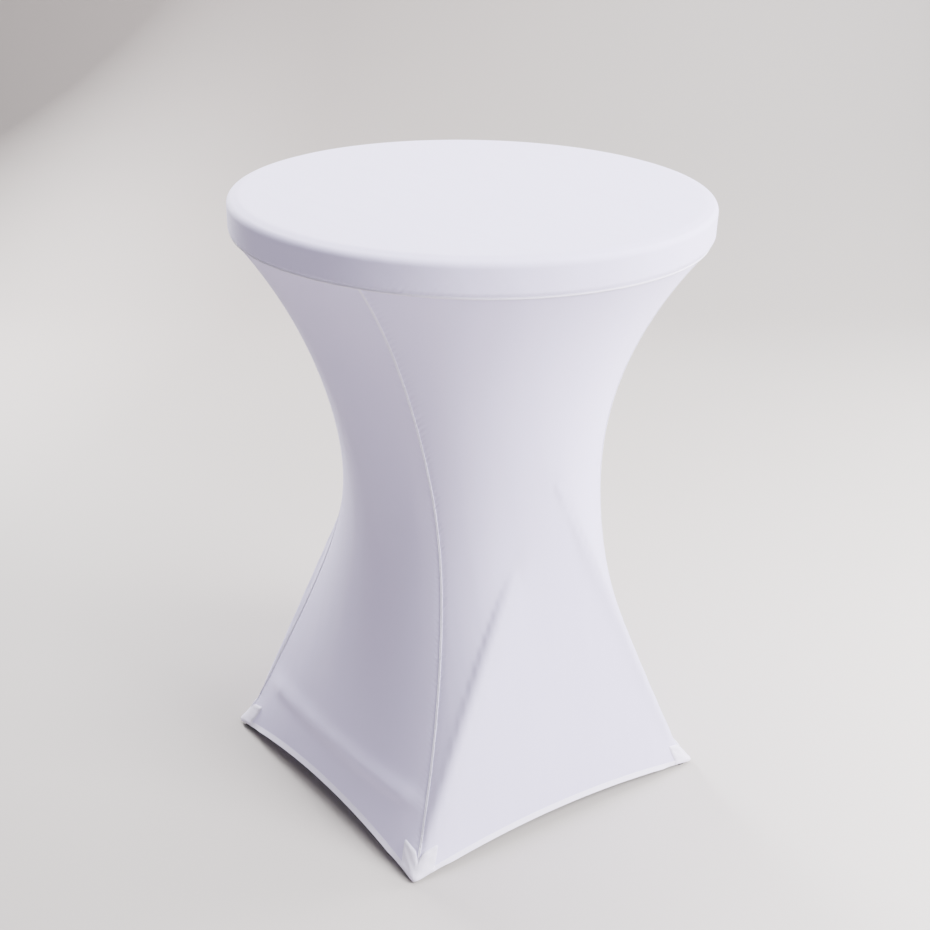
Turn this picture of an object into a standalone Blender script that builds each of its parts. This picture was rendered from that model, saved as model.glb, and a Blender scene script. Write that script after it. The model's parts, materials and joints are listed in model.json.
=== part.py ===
"""A folding bar table dressed in a stretch cloth, in metres with +Z up.

The origin is on the floor under the middle of the table. The feet stand on a rectangle along X and
Y. The inner frame has its feet at -X and its top bar at +X, and the outer frame the other way
round, so they cross like scissors. The cloth is a turned top panel, four skirt panels that hang in
tension from the rim to the feet, and the trim that is sewn to them.
"""
import math

import bmesh
import bpy
import numpy as np
from mathutils import Matrix, Vector

# Overall sizes
TABLE_HEIGHT = 1.10
TABLE_DIAMETER = 0.80
FOOT_SPAN_X = 0.654          # between the inner faces of the cloth at the feet, along X
FOOT_SPAN_Y = 0.606          # the same along Y, at the inner frame's feet

# Clearances between neighbours
GAP = 0.0003                 # pieces that touch
TUBE_GAP = 0.004             # between the two frames where they cross
FOOT_SETBACK = 0.022         # from the cloth's corner to the leg's axis, along X and along Y

# Tabletop
TOP_SKIN = 0.005
TOP_WALL = 0.004
TOP_DEPTH = 0.054
SHOULDER_WIDTH = 0.019
SHOULDER_DROP = 0.003
EDGE_RADIUS = 0.010
LOWER_RADIUS = 0.007
PANEL_SKIN = 0.004
PANEL_RECESS = 0.004
TURN_STEPS = 48

# Folding frame
TUBE_DIAMETER = 0.025
TUBE_WALL = 0.0015
TUBE_SIDES = 12
BEND_RADIUS = 0.045
BEND_STEPS = 6
CROSS_HEIGHT = 0.66
CROSS_SPAN_Y = 0.472         # between the outer frame's tube axes where the frames cross
CROSSBAR_HEIGHT = 0.117
BAR_CLEARANCE = 0.004        # from the top bars to the underside panel
CAP_WALL = 0.003
CAP_FLOOR = 0.005
CAP_HEIGHT = 0.028
CAP_CHAMFER = 0.002
BOLT_RADIUS = 0.004
BOLT_HEAD_RADIUS = 0.008
BOLT_HEAD_HEIGHT = 0.004
BOLT_END = 0.002             # the shank past its nut
NUT_RADIUS = 0.0075
NUT_HEIGHT = 0.006
WASHER_RADIUS = 0.008
WASHER_THICKNESS = 0.0016
STRAP_WALL = 0.003
STRAP_WIDTH = 0.030
STRAP_FLANGE = 0.024
STRAP_INSET = 0.010          # from the end of a top bar's straight run to a strap's side
SCREW_RADIUS = 0.002
SCREW_HEAD_RADIUS = 0.0045
SCREW_HEAD_HEIGHT = 0.0025
SCREW_TIP = 0.004            # through the underside panel
SCREW_SIDES = 8
BOLT_SIDES = 12
CUT_MARGIN = 0.01            # how far a cutter reaches past what it cuts

# Cloth
CLOTH = 0.001
HEM_THICKNESS = 0.0022
HEM_HEIGHT = 0.010
HEM_GAP = 0.0015             # between a skirt panel's lower edge and its hem
HEM_RISE = 0.030             # how far the hem rises between two feet
CORNER_LIFT = 0.004          # from the floor to the cloth's lowest points
SEAM_RADIUS = 0.0008
SEAM_SIDES = 6
LEAVING_ANGLE = 33.0         # from level to where the cloth leaves the tabletop's lower edge
LIP_LENGTH = 0.008           # from there to the rim seam
TWIST = -14.8                # how far the corner seams' tops are turned about Z from the feet
NECKING = 2.1                # how strongly the cloth draws in between rim and floor
POCKET_WIDTH = 0.040         # each side of its corner
POCKET_HEIGHT = 0.050
POCKET_CLOTH = 0.0012
POCKET_SIDE_GAP = 0.06       # of a column's width, from a pocket's side to the hem's end
POCKET_GAP = 0.0030          # from the skirt panels' outer face to the pocket patch
SEAM_GAP = 0.02              # of a column's width, from a panel's side edge to the corner
CHORD_CLEARANCE = 0.0055     # from the tubes to the coarse cloth's straight edges round them
STAND_OFF_HEIGHT = 0.06      # the cloth stands off by that from this height up
SEAM_SIDE_COLUMNS = 0.2      # from a corner to where its seam's normals are measured
SEAM_END_GAP = 0.003         # from a corner seam's lower end to its pocket
SEAM_TOP_GAP = 0.006         # from its upper end to the rim
ROW_SPACING = 1.15           # how much higher than a pocket's top the net's own rows start
COLUMNS = 16                 # across one skirt panel
ROWS = 18
SETTLING_STEPS = 2500
SETTLING_SHARE = 0.9         # of the way to its balanced place that a node moves in one step
SETTLING_CARRY = 0.85        # of the last step that a node keeps

SIDES = {"front": -1, "back": 1}
PANELS = ("front", "right", "back", "left")
CORNERS = ("front_left", "front_right", "back_right", "back_left")

# Heights and places that follow from the sizes above
table_z = TABLE_HEIGHT - CLOTH - GAP
edge_r = TABLE_DIAMETER / 2
lower_arc_z = table_z - TOP_DEPTH + LOWER_RADIUS
panel_z = table_z - TOP_DEPTH + PANEL_RECESS
tube_r = TUBE_DIAMETER / 2
bar_z = panel_z - BAR_CLEARANCE - tube_r
foot_x = FOOT_SPAN_X / 2 - FOOT_SETBACK
bar_x = foot_x * (bar_z - CROSS_HEIGHT) / CROSS_HEIGHT
inner_foot_y = FOOT_SPAN_Y / 2 - FOOT_SETBACK
frame_step = TUBE_DIAMETER + TUBE_GAP
outer_foot_y = inner_foot_y + frame_step
leg_lean_y = (outer_foot_y - CROSS_SPAN_Y / 2) / CROSS_HEIGHT
tube_end_z = CAP_FLOOR + GAP
# How much wider a leaning tube is on the level
tube_slant = math.sqrt(1 + (foot_x / CROSS_HEIGHT) ** 2 + leg_lean_y ** 2)
bend_turn = math.acos(leg_lean_y / tube_slant)
bar_straight_y = inner_foot_y - leg_lean_y * bar_z - BEND_RADIUS * math.tan(bend_turn / 2)
strap_y = bar_straight_y - STRAP_INSET - STRAP_WIDTH / 2
widest_column = max(FOOT_SPAN_X, 2 * (outer_foot_y + FOOT_SETBACK)) / COLUMNS
# Two nodes a column apart, either side of a square corner, keep their chord clear of the tube there
stand_off = (tube_r * tube_slant + widest_column / 2) / math.sqrt(2) - tube_r * tube_slant
stand_off += CHORD_CLEARANCE
cap_r = tube_r + GAP + CAP_WALL


def material(name, colour, roughness, metallic=0.0):
    made = bpy.data.materials.new(name)
    made.use_nodes = True
    shader = made.node_tree.nodes["Principled BSDF"]
    shader.inputs["Base Color"].default_value = (*colour, 1.0)
    shader.inputs["Roughness"].default_value = roughness
    shader.inputs["Metallic"].default_value = metallic
    return made


def placed(name, mesh, finish, parent=None):
    """An object of the mesh, whose points are in world space, under its joint's empty if it has one."""
    mesh.materials.append(finish)
    made = bpy.data.objects.new(name, mesh)
    bpy.context.scene.collection.objects.link(made)
    if parent is not None:
        mesh.transform(Matrix.Translation(-parent.location))
        made.parent = parent
    return made


def mesh_from(name, points, faces, smooth=35.0):
    """A mesh with its faces turned outwards."""
    mesh = bpy.data.meshes.new(name)
    mesh.from_pydata([tuple(float(c) for c in p) for p in points], [], faces)
    work = bmesh.new()
    work.from_mesh(mesh)
    bmesh.ops.recalc_face_normals(work, faces=work.faces)
    if work.calc_volume(signed=True) < 0:
        bmesh.ops.reverse_faces(work, faces=work.faces)
    work.to_mesh(mesh)
    work.free()
    mesh.shade_smooth()
    mesh.set_sharp_from_angle(angle=math.radians(smooth))
    return mesh


def arc(centre, radius, start, end, steps):
    """Points of an arc in the plane, from start to end degrees."""
    turns = [math.radians(start + (end - start) * i / steps) for i in range(steps + 1)]
    return [(centre[0] + radius * math.cos(t), centre[1] + radius * math.sin(t)) for t in turns]


def turned(name, outline, steps=TURN_STEPS):
    """A solid from a closed outline of (radius, height) turned about Z. Points at radius 0 are poles."""
    points, rings = [], []
    for radius, height in outline:
        if radius < 1e-9:
            rings.append([len(points)] * steps)
            points.append((0.0, 0.0, height))
            continue
        rings.append([len(points) + s for s in range(steps)])
        for s in range(steps):
            angle = 2 * math.pi * s / steps
            points.append((radius * math.cos(angle), radius * math.sin(angle), height))
    faces = []
    for first, second in zip(rings, rings[1:] + rings[:1]):
        for s in range(steps):
            t = (s + 1) % steps
            corners = [first[s], first[t], second[t], second[s]]
            face = list(dict.fromkeys(corners))
            if len(face) > 2:
                faces.append(face)
    return mesh_from(name, points, faces)


def edge_curve(offset):
    """The tabletop's outline from the middle to where the cloth leaves its lower edge, moved outwards."""
    upper = (edge_r - EDGE_RADIUS, table_z - SHOULDER_DROP - EDGE_RADIUS)
    lower = (edge_r - LOWER_RADIUS, lower_arc_z)
    points = [(0.0, table_z + offset), (edge_r - SHOULDER_WIDTH, table_z + offset)]
    points += arc(upper, EDGE_RADIUS + offset, 78, 0, 5)
    points += arc(lower, LOWER_RADIUS + offset, 0, -LEAVING_ANGLE, 2)
    return points


def tube_rings(path, normal, radius, sides=TUBE_SIDES):
    """Rings round a path that lies in a plane with that normal."""
    rings = []
    for i, p in enumerate(path):
        ahead = path[min(i + 1, len(path) - 1)] - path[max(i - 1, 0)]
        tangent = ahead.normalized()
        across = tangent.cross(normal).normalized()
        before = (path[i] - path[i - 1]).normalized() if i else tangent
        after = (path[i + 1] - path[i]).normalized() if i < len(path) - 1 else tangent
        stretch = 1 / max(0.5, math.cos(before.angle(after) / 2))
        ring = []
        for s in range(sides):
            angle = 2 * math.pi * (s + 0.5) / sides
            sideways = across * (radius * math.cos(angle) * stretch)
            ring.append(p + sideways + normal * (radius * math.sin(angle)))
        rings.append(ring)
    return rings


def level_end(ring, axis, height):
    """The ring's points slid along the axis to one height."""
    return [p + axis * ((height - p.z) / axis.z) for p in ring]


def loft(name, rings, closed_ends):
    """A skin over the rings in order, with its two ends closed, or joined to each other."""
    sides = len(rings[0])
    points = [p for ring in rings for p in ring]
    faces = []
    pairs = list(range(len(rings) - 1))
    if not closed_ends:
        pairs.append(len(rings) - 1)
    for i in pairs:
        a, b = i * sides, ((i + 1) % len(rings)) * sides
        for s in range(sides):
            t = (s + 1) % sides
            faces.append((a + s, a + t, b + t, b + s))
    if closed_ends:
        faces.append(tuple(range(sides)))
        faces.append(tuple(range(len(points) - sides, len(points))))
    return mesh_from(name, points, faces)


def bore_r(radius, sides):
    """The corner radius of a bore with flat sides that clears a bar of that radius."""
    return (radius + GAP) / math.cos(math.pi / sides)


def cylinder_along_y(name, radius, start, end, centre, sides=BOLT_SIDES):
    turns = [2 * math.pi * (s + 0.5) / sides for s in range(sides)]
    ring = [(radius * math.cos(t), radius * math.sin(t)) for t in turns]
    rings = [[Vector((centre[0] + x, y, centre[1] + z)) for x, z in ring] for y in (start, end)]
    return loft(name, rings, closed_ends=True)


def cut(made, cutters):
    """Applies Boolean differences and removes the cutters."""
    for cutter in cutters:
        change = made.modifiers.new("cut", "BOOLEAN")
        change.object = cutter
        change.operation = "DIFFERENCE"
        change.solver = "EXACT"
    bpy.context.view_layer.update()
    evaluated = made.evaluated_get(bpy.context.evaluated_depsgraph_get())
    mesh = bpy.data.meshes.new_from_object(evaluated)
    made.modifiers.clear()
    made.data = mesh
    for cutter in cutters:
        bpy.data.objects.remove(cutter)


def guide(mesh, parent=None):
    """A cutter, left out of the model."""
    made = bpy.data.objects.new("cutter", mesh)
    bpy.context.scene.collection.objects.link(made)
    made.hide_render = True
    made.display_type = "WIRE"
    if parent is not None:
        mesh.transform(Matrix.Translation(-parent.location))
        made.parent = parent
    return made


# ---- table ------------------------------------------------------------------------------------

def screw_places():
    """Where the screws stand, by name: one in each flange of a hinge strap, two in a clip's one flange."""
    reach = tube_r + GAP + STRAP_WALL + STRAP_FLANGE / 2
    places = {}
    for side, sign in SIDES.items():
        for end, step in (("a", -1), ("b", 1)):
            places[f"hinge_screw_{side}_{end}"] = (bar_x + step * reach, sign * strap_y)
            clip_y = sign * strap_y + step * STRAP_WIDTH / 4
            places[f"clip_screw_{side}_{end}"] = (-bar_x - reach, clip_y)
    return places


def make_tabletop(plastic):
    inside_r = edge_r - TOP_WALL
    bottom_z = table_z - TOP_DEPTH
    outline = edge_curve(0.0)[:-3]
    outline += arc((edge_r - LOWER_RADIUS, lower_arc_z), LOWER_RADIUS, 0, -60, 3)
    outline += [(inside_r, bottom_z + 0.001), (inside_r, table_z - SHOULDER_DROP - EDGE_RADIUS)]
    outline += [(inside_r - SHOULDER_WIDTH, table_z - TOP_SKIN), (0.0, table_z - TOP_SKIN)]
    placed("tabletop", turned("tabletop", outline), plastic)


def make_underside(plastic):
    radius = edge_r - TOP_WALL - GAP
    top = panel_z + PANEL_SKIN
    outline = [(0.0, top), (radius, top), (radius, panel_z), (0.0, panel_z)]
    made = placed("underside_panel", turned("underside_panel", outline), plastic)
    holes = []
    for place in screw_places().values():
        holes.append(screw_hole(place, panel_z, panel_z + PANEL_SKIN))
    cut(made, holes)


def upright_rings(x, y, levels):
    """Level rings round an upright axis, one for each radius and height."""
    turns = [2 * math.pi * (s + 0.5) / SCREW_SIDES for s in range(SCREW_SIDES)]
    return [[Vector((x + r * math.cos(t), y + r * math.sin(t), z)) for t in turns] for r, z in levels]


def screw_hole(place, low, high):
    """A cutter for a screw that passes through from low to high."""
    radius = bore_r(SCREW_RADIUS, SCREW_SIDES)
    levels = [(radius, low - CUT_MARGIN), (radius, high + CUT_MARGIN)]
    return guide(loft("hole", upright_rings(*place, levels), closed_ends=True))


def make_strap(name, kind, side, steel):
    """A bent strap under the panel: a hinge closed round a top bar, or a clip open towards +X."""
    opening = kind == "clip"
    x = -bar_x if opening else bar_x
    y = SIDES[side] * strap_y
    inner = tube_r + GAP
    outer = inner + STRAP_WALL
    top = panel_z - GAP
    under = top - STRAP_WALL
    left = x - outer - STRAP_FLANGE
    right = x + outer + STRAP_FLANGE
    if opening:
        # A flange with a hook behind and below the bar, and a lip over it
        outline = [(left, top), (x, top), (x, under), (x - inner, under)]
        outline += arc((x, bar_z), inner, 180, 285, 6)
        outline += arc((x, bar_z), outer, 285, 180, 6)
        outline += [(x - outer, under), (left, under)]
    else:
        outline = [(left, top), (x - inner, top)]
        outline += arc((x, bar_z), inner, 180, 360, 10)
        outline += [(x + inner, top), (right, top), (right, under), (x + outer, under)]
        outline += arc((x, bar_z), outer, 360, 180, 10)
        outline += [(x - outer, under), (left, under)]
    low, high = y - STRAP_WIDTH / 2, y + STRAP_WIDTH / 2
    rings = [[Vector((px, py, pz)) for px, pz in outline] for py in (low, high)]
    made = placed(name, loft(name, rings, closed_ends=True), steel)
    places = screw_places()
    cut(made, [screw_hole(places[f"{kind}_screw_{side}_{end}"], under, top) for end in "ab"])


def make_screw(name, place, steel):
    """A pan head screw that holds a strap's flange to the panel."""
    head_top = panel_z - 2 * GAP - STRAP_WALL
    tip = panel_z + PANEL_SKIN + SCREW_TIP
    levels = [(SCREW_HEAD_RADIUS * 0.7, head_top - SCREW_HEAD_HEIGHT),
              (SCREW_HEAD_RADIUS, head_top - SCREW_HEAD_HEIGHT / 2),
              (SCREW_HEAD_RADIUS, head_top), (SCREW_RADIUS, head_top), (SCREW_RADIUS, tip)]
    placed(name, loft(name, upright_rings(*place, levels), closed_ends=True), steel)


def leg_y(foot_y, height):
    return foot_y - leg_lean_y * height


def make_frame(name, foot_side, foot_y, joint, finishes):
    """One U-shaped tube from foot to foot over its top bar, with its crossbar and its two foot caps."""
    steel, rubber = finishes
    foot = Vector((foot_side * foot_x, foot_y, 0.0))
    top = Vector((-foot_side * bar_x, leg_y(foot_y, bar_z), bar_z))
    slope = Vector((top.x - foot.x, 0, top.z)).normalized()
    normal = slope.cross(Vector((0, 1, 0))).normalized()
    up_leg = (top - foot).normalized()
    turn = up_leg.angle(Vector((0, -1, 0)))
    start = top - up_leg * (BEND_RADIUS * math.tan(turn / 2))
    across = normal.cross(up_leg)
    bend_sign = 1 if across.y < 0 else -1
    centre = start + across * (BEND_RADIUS * bend_sign)
    half = [foot + up_leg * (tube_end_z / up_leg.z)]
    for i in range(BEND_STEPS + 1):
        bend = Matrix.Rotation(bend_sign * turn * i / BEND_STEPS, 3, normal)
        half.append(centre + bend @ (start - centre))
    mirrored = [Vector((p.x, -p.y, p.z)) for p in reversed(half)]
    path = half + mirrored
    outer = tube_rings(path, normal, tube_r)
    inner = tube_rings(path, normal, tube_r - TUBE_WALL)
    down_legs = (up_leg, Vector((up_leg.x, -up_leg.y, up_leg.z)))
    for rings in (outer, inner):
        rings[0] = level_end(rings[0], down_legs[0], tube_end_z)
        rings[-1] = level_end(rings[-1], down_legs[1], tube_end_z)
    skin = loft(f"{name}_tube", outer + inner[::-1], closed_ends=False)
    tube = placed(f"{name}_tube", skin, steel, joint)
    holes = []
    for sign in SIDES.values():
        y = sign * leg_y(foot_y, CROSS_HEIGHT)
        bolt_hole_r = bore_r(BOLT_RADIUS, BOLT_SIDES)
        reach = tube_r + CUT_MARGIN
        hole = cylinder_along_y("hole", bolt_hole_r, y - reach, y + reach, (0.0, CROSS_HEIGHT))
        holes.append(guide(hole, joint))
    cut(tube, holes)

    bar_foot_x = foot_side * (foot_x - foot_x / CROSS_HEIGHT * CROSSBAR_HEIGHT)
    reach = leg_y(foot_y, CROSSBAR_HEIGHT) - tube_r * (1 + leg_lean_y) - 2 * GAP
    ends = [Vector((bar_foot_x, -reach, CROSSBAR_HEIGHT)), Vector((bar_foot_x, reach, CROSSBAR_HEIGHT))]
    bar = tube_rings(ends, normal, tube_r) + tube_rings(ends, normal, tube_r - TUBE_WALL)[::-1]
    placed(f"{name}_crossbar", loft(f"{name}_crossbar", bar, closed_ends=False), steel, joint)

    for side, sign in SIDES.items():
        axis = Vector((up_leg.x, -sign * abs(up_leg.y), up_leg.z))
        base = Vector((foot.x, sign * foot_y, 0.0))
        levels = [(cap_r - CAP_CHAMFER / 2, 0.0), (cap_r, CAP_CHAMFER), (cap_r, CAP_HEIGHT),
                  (tube_r + GAP, CAP_HEIGHT), (tube_r + GAP, CAP_FLOOR)]
        rings = []
        for radius, height in levels:
            ring = tube_rings([base, base + axis], normal, radius)[0]
            rings.append(level_end(ring, axis, height))
        cap = loft(f"{name}_foot_cap_{side}", rings, closed_ends=True)
        placed(f"{name}_foot_cap_{side}", cap, rubber, joint)


def make_pivot(side, sign, joint, finishes):
    """The bolt, nut and spacing washer where the two frames cross."""
    steel, nylon = finishes
    outer_y = CROSS_SPAN_Y / 2
    inner_y = outer_y - frame_step
    lean = 1 + leg_lean_y
    head_y = outer_y + tube_r * lean + GAP
    nut_y = inner_y - tube_r * lean - GAP
    shank_end = nut_y - NUT_HEIGHT - BOLT_END
    levels = [(BOLT_HEAD_RADIUS * 0.75, head_y + BOLT_HEAD_HEIGHT),
              (BOLT_HEAD_RADIUS, head_y + BOLT_HEAD_HEIGHT / 2),
              (BOLT_HEAD_RADIUS, head_y), (BOLT_RADIUS, head_y), (BOLT_RADIUS, shank_end)]
    turns = [2 * math.pi * (s + 0.5) / BOLT_SIDES for s in range(BOLT_SIDES)]

    def rings_of(pairs):
        return [[Vector((r * math.cos(t), sign * y, CROSS_HEIGHT + r * math.sin(t))) for t in turns]
                for r, y in pairs]

    placed(f"pivot_bolt_{side}", loft("bolt", rings_of(levels), closed_ends=True), steel, joint)
    bore = BOLT_RADIUS + GAP
    nut = [(NUT_RADIUS, nut_y), (NUT_RADIUS, nut_y - NUT_HEIGHT), (bore, nut_y - NUT_HEIGHT), (bore, nut_y)]
    placed(f"pivot_nut_{side}", loft("nut", rings_of(nut), closed_ends=False), steel, joint)
    middle = (outer_y + inner_y) / 2
    near, far = middle - WASHER_THICKNESS / 2, middle + WASHER_THICKNESS / 2
    washer = [(WASHER_RADIUS, far), (WASHER_RADIUS, near), (bore, near), (bore, far)]
    placed(f"pivot_washer_{side}", loft("washer", rings_of(washer), closed_ends=False), nylon, joint)


# ---- cloth ------------------------------------------------------------------------------------

def rim_seam_place():
    """Radius and height of the seam under the rim, at the middle of the cloth's thickness."""
    away = math.radians(LEAVING_ANGLE)
    radius = LOWER_RADIUS + GAP + CLOTH / 2
    r = edge_r - LOWER_RADIUS + radius * math.cos(away) - LIP_LENGTH * math.sin(away)
    z = lower_arc_z - radius * math.sin(away) - LIP_LENGTH * math.cos(away)
    return r, z


def pushed_out(points):
    """The points moved level, out of the outline round the four legs at their height.

    The outline is a trapezium with a leg at each corner, narrowest where the frames cross, and the
    cloth stays a tube's radius and the stand-off outside it.
    """
    z = points[..., 2]
    half_x = np.abs(foot_x * (1 - z / CROSS_HEIGHT))
    below = z < CROSS_HEIGHT
    inner_y, outer_y = leg_y(inner_foot_y, z), leg_y(outer_foot_y, z)
    corner_a = np.stack([-half_x, np.where(below, inner_y, outer_y)], axis=-1)
    corner_b = np.stack([half_x, np.where(below, outer_y, inner_y)], axis=-1)
    sign_y = np.where(points[..., 1:2] < 0, -1.0, 1.0)
    flat = np.concatenate([points[..., :1], points[..., 1:2] * sign_y], axis=-1)
    level = np.array([1.0, 0.0])
    edges = [(corner_a * level, corner_a), (corner_a, corner_b), (corner_b, corner_b * level)]
    best = np.full(flat.shape[:-1], np.inf)
    near, outward = flat.copy(), flat.copy()
    inside = np.ones(flat.shape[:-1], bool)
    for start, end in edges:
        along = end - start
        length = np.maximum(np.linalg.norm(along, axis=-1, keepdims=True), 1e-9)
        normal = np.stack([-along[..., 1], along[..., 0]], axis=-1) / length
        share = np.sum((flat - start) * along, axis=-1, keepdims=True) / length ** 2
        place = start + np.clip(share, 0, 1) * along
        distance = np.linalg.norm(flat - place, axis=-1)
        closer = distance < best
        best = np.where(closer, distance, best)
        near = np.where(closer[..., None], place, near)
        outward = np.where(closer[..., None], normal, outward)
        inside &= np.sum((flat - start) * normal, axis=-1) < 0
    away = np.where(inside[..., None], outward, (flat - near) / np.maximum(best, 1e-9)[..., None])
    radius = tube_r * tube_slant + GAP + stand_off * np.clip(z / STAND_OFF_HEIGHT, 0, 1)
    over_cap = cap_r * tube_slant + CLOTH
    radius = np.where(z < STAND_OFF_HEIGHT, np.maximum(radius, over_cap), radius)
    caught = inside | (best < radius)
    flat = np.where(caught[..., None], near + away * radius[..., None], flat)
    return np.concatenate([flat[..., :1], flat[..., 1:2] * sign_y, points[..., 2:]], axis=-1)


def hang_skirt():
    """The skirt's inner face as rows from rim to hem and columns round it, at rest in tension.

    Every node is pulled by its neighbours: down the cloth, round it, and along the hem. The pulls
    come from NECKING and HEM_RISE, so that a finer net takes the same shape.
    """
    outer_corner_y = outer_foot_y + FOOT_SETBACK
    half_x, inner_corner_y = FOOT_SPAN_X / 2, FOOT_SPAN_Y / 2
    corners = [(-half_x, -inner_corner_y), (half_x, -outer_corner_y),
               (half_x, outer_corner_y), (-half_x, inner_corner_y)]
    seam_r, seam_z = rim_seam_place()
    away = math.radians(LEAVING_ANGLE)
    start_r = seam_r - CLOTH / 2 * math.cos(away) - 2 * SEAM_RADIUS * math.sin(away)
    start_z = seam_z + CLOTH / 2 * math.sin(away) - 2 * SEAM_RADIUS * math.cos(away) - GAP
    count = 4 * COLUMNS
    rim, foot = np.zeros((count, 3)), np.zeros((count, 3))
    for k, corner in enumerate(corners):
        following = corners[(k + 1) % 4]
        first = math.atan2(corner[1], corner[0])
        last = math.atan2(following[1], following[0])
        last += 2 * math.pi if last < first else 0
        for c in range(COLUMNS):
            share = c / COLUMNS
            angle = first + (last - first) * share + math.radians(TWIST)
            rim[k * COLUMNS + c] = (start_r * math.cos(angle), start_r * math.sin(angle), start_z)
            rise = 4 * HEM_RISE * share * (1 - share)
            x = corner[0] + (following[0] - corner[0]) * share
            y = corner[1] + (following[1] - corner[1]) * share
            foot[k * COLUMNS + c] = (x, y, CORNER_LIFT + rise)
    down = np.linspace(0, 1, ROWS + 1)[:, None, None]
    net = rim[None] * (1 - down) + foot[None] * down
    round_pull = (NECKING * count / (2 * math.pi * ROWS)) ** 2
    hem_pull = start_z * COLUMNS ** 2 / (8 * ROWS * HEM_RISE)
    held = np.arange(count) % COLUMNS == 0
    before = net.copy()
    for _ in range(SETTLING_STEPS):
        target = net.copy()
        beside = np.roll(net, 1, axis=1) + np.roll(net, -1, axis=1)
        target[1:-1] = (net[:-2] + net[2:] + round_pull * beside[1:-1]) / (2 + 2 * round_pull)
        target[-1] = (net[-2] + hem_pull * beside[-1]) / (1 + 2 * hem_pull)
        moved = net + SETTLING_SHARE * (target - net) + SETTLING_CARRY * (net - before)
        before, net = net, pushed_out(moved)
        net[0], net[-1, held] = rim, foot[held]
    return net


class Skirt:
    """The hung net as a surface: a point at any column and any distance up from the hem."""

    def __init__(self):
        net = hang_skirt()
        self.columns = []
        for c in range(net.shape[1]):
            line = net[::-1, c]
            steps = np.linalg.norm(np.diff(line, axis=0), axis=1)
            self.columns.append((np.concatenate([[0], np.cumsum(steps)]), line))

    def on_column(self, c, up):
        along, line = self.columns[c % len(self.columns)]
        return np.array([np.interp(up, along, line[:, k]) for k in range(3)])

    def length(self, u):
        low = math.floor(u)
        share = u - low
        first = self.columns[low % len(self.columns)][0][-1]
        second = self.columns[(low + 1) % len(self.columns)][0][-1]
        return first * (1 - share) + second * share

    def at(self, u, up):
        low = math.floor(u)
        share = u - low
        return self.on_column(low, up) * (1 - share) + self.on_column(low + 1, up) * share

    def grid(self, us, ups):
        """The net's own rows at the columns in us, then a row at each distance up from the hem."""
        out = []
        for i in range(ROWS, 0, -1):
            row, reached = [], []
            for u in us:
                c = math.floor(u)
                share = u - c
                first, second = (self.columns[n % len(self.columns)] for n in (c, c + 1))
                row.append(first[1][i] * (1 - share) + second[1][i] * share)
                reached.append(first[0][i] * (1 - share) + second[0][i] * share)
            if min(reached) > ups[0] * ROW_SPACING:
                out.append(row)
        out += [[self.at(u, up) for u in us] for up in ups]
        return np.array(out)


def between(first, last):
    """The two ends and the whole columns between them."""
    return [first, *range(math.floor(first) + 1, math.ceil(last)), last]


def offset_grid(grid, distance):
    """The grid moved out along its normals, further at a fold so that both sides keep the distance."""
    rows, columns = grid.shape[:2]
    normals = np.cross(grid[1:, 1:] - grid[:-1, :-1], grid[:-1, 1:] - grid[1:, :-1])
    normals /= np.linalg.norm(normals, axis=-1, keepdims=True)
    if np.mean(np.sum(normals * (grid[:-1, :-1] - [0, 0, 0.5]) * [1, 1, 0], axis=-1)) < 0:
        normals = -normals
    out = np.zeros_like(grid)
    for i in range(rows):
        for j in range(columns):
            near = normals[max(i - 1, 0):min(i + 1, rows - 1), max(j - 1, 0):min(j + 1, columns - 1)]
            near = near.reshape(-1, 3)
            mean = near.sum(axis=0)
            mean /= np.linalg.norm(mean)
            out[i, j] = grid[i, j] + mean * distance / max(0.5, (near @ mean).min())
    return out


def thick_sheet(name, inner, thickness):
    """A closed sheet between the grid and its copy moved outwards."""
    outer = offset_grid(inner, thickness)
    rows, columns = inner.shape[:2]
    points = np.concatenate([inner.reshape(-1, 3), outer.reshape(-1, 3)])
    lift = rows * columns

    def at(i, j):
        return i * columns + j

    faces = []
    for i in range(rows - 1):
        for j in range(columns - 1):
            a, b, c, d = at(i, j), at(i, j + 1), at(i + 1, j + 1), at(i + 1, j)
            faces.append((a, b, c, d))
            faces.append((lift + a, lift + d, lift + c, lift + b))
    border = [at(0, j) for j in range(columns)]
    border += [at(i, columns - 1) for i in range(1, rows)]
    border += [at(rows - 1, j) for j in range(columns - 2, -1, -1)]
    border += [at(i, 0) for i in range(rows - 2, 0, -1)]
    for a, b in zip(border, border[1:] + border[:1]):
        faces.append((a, b, lift + b, lift + a))
    return mesh_from(name, points, faces)


def make_top_panel(cloth, joint):
    """The cloth over the tabletop and round its edge, down to the rim seam."""
    away = math.radians(LEAVING_ANGLE)
    free = LIP_LENGTH - SEAM_RADIUS - GAP
    outer, inner = edge_curve(GAP + CLOTH), edge_curve(GAP)
    for curve in (outer, inner):
        last = curve[-1]
        curve.append((last[0] - free * math.sin(away), last[1] - free * math.cos(away)))
    placed("top_panel", turned("top_panel", outer + inner[::-1]), cloth, joint)


def make_rim_seam(thread, joint):
    outline = arc(rim_seam_place(), SEAM_RADIUS, 0, 300, 5)
    placed("rim_seam", turned("rim_seam", outline), thread, joint)


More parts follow.
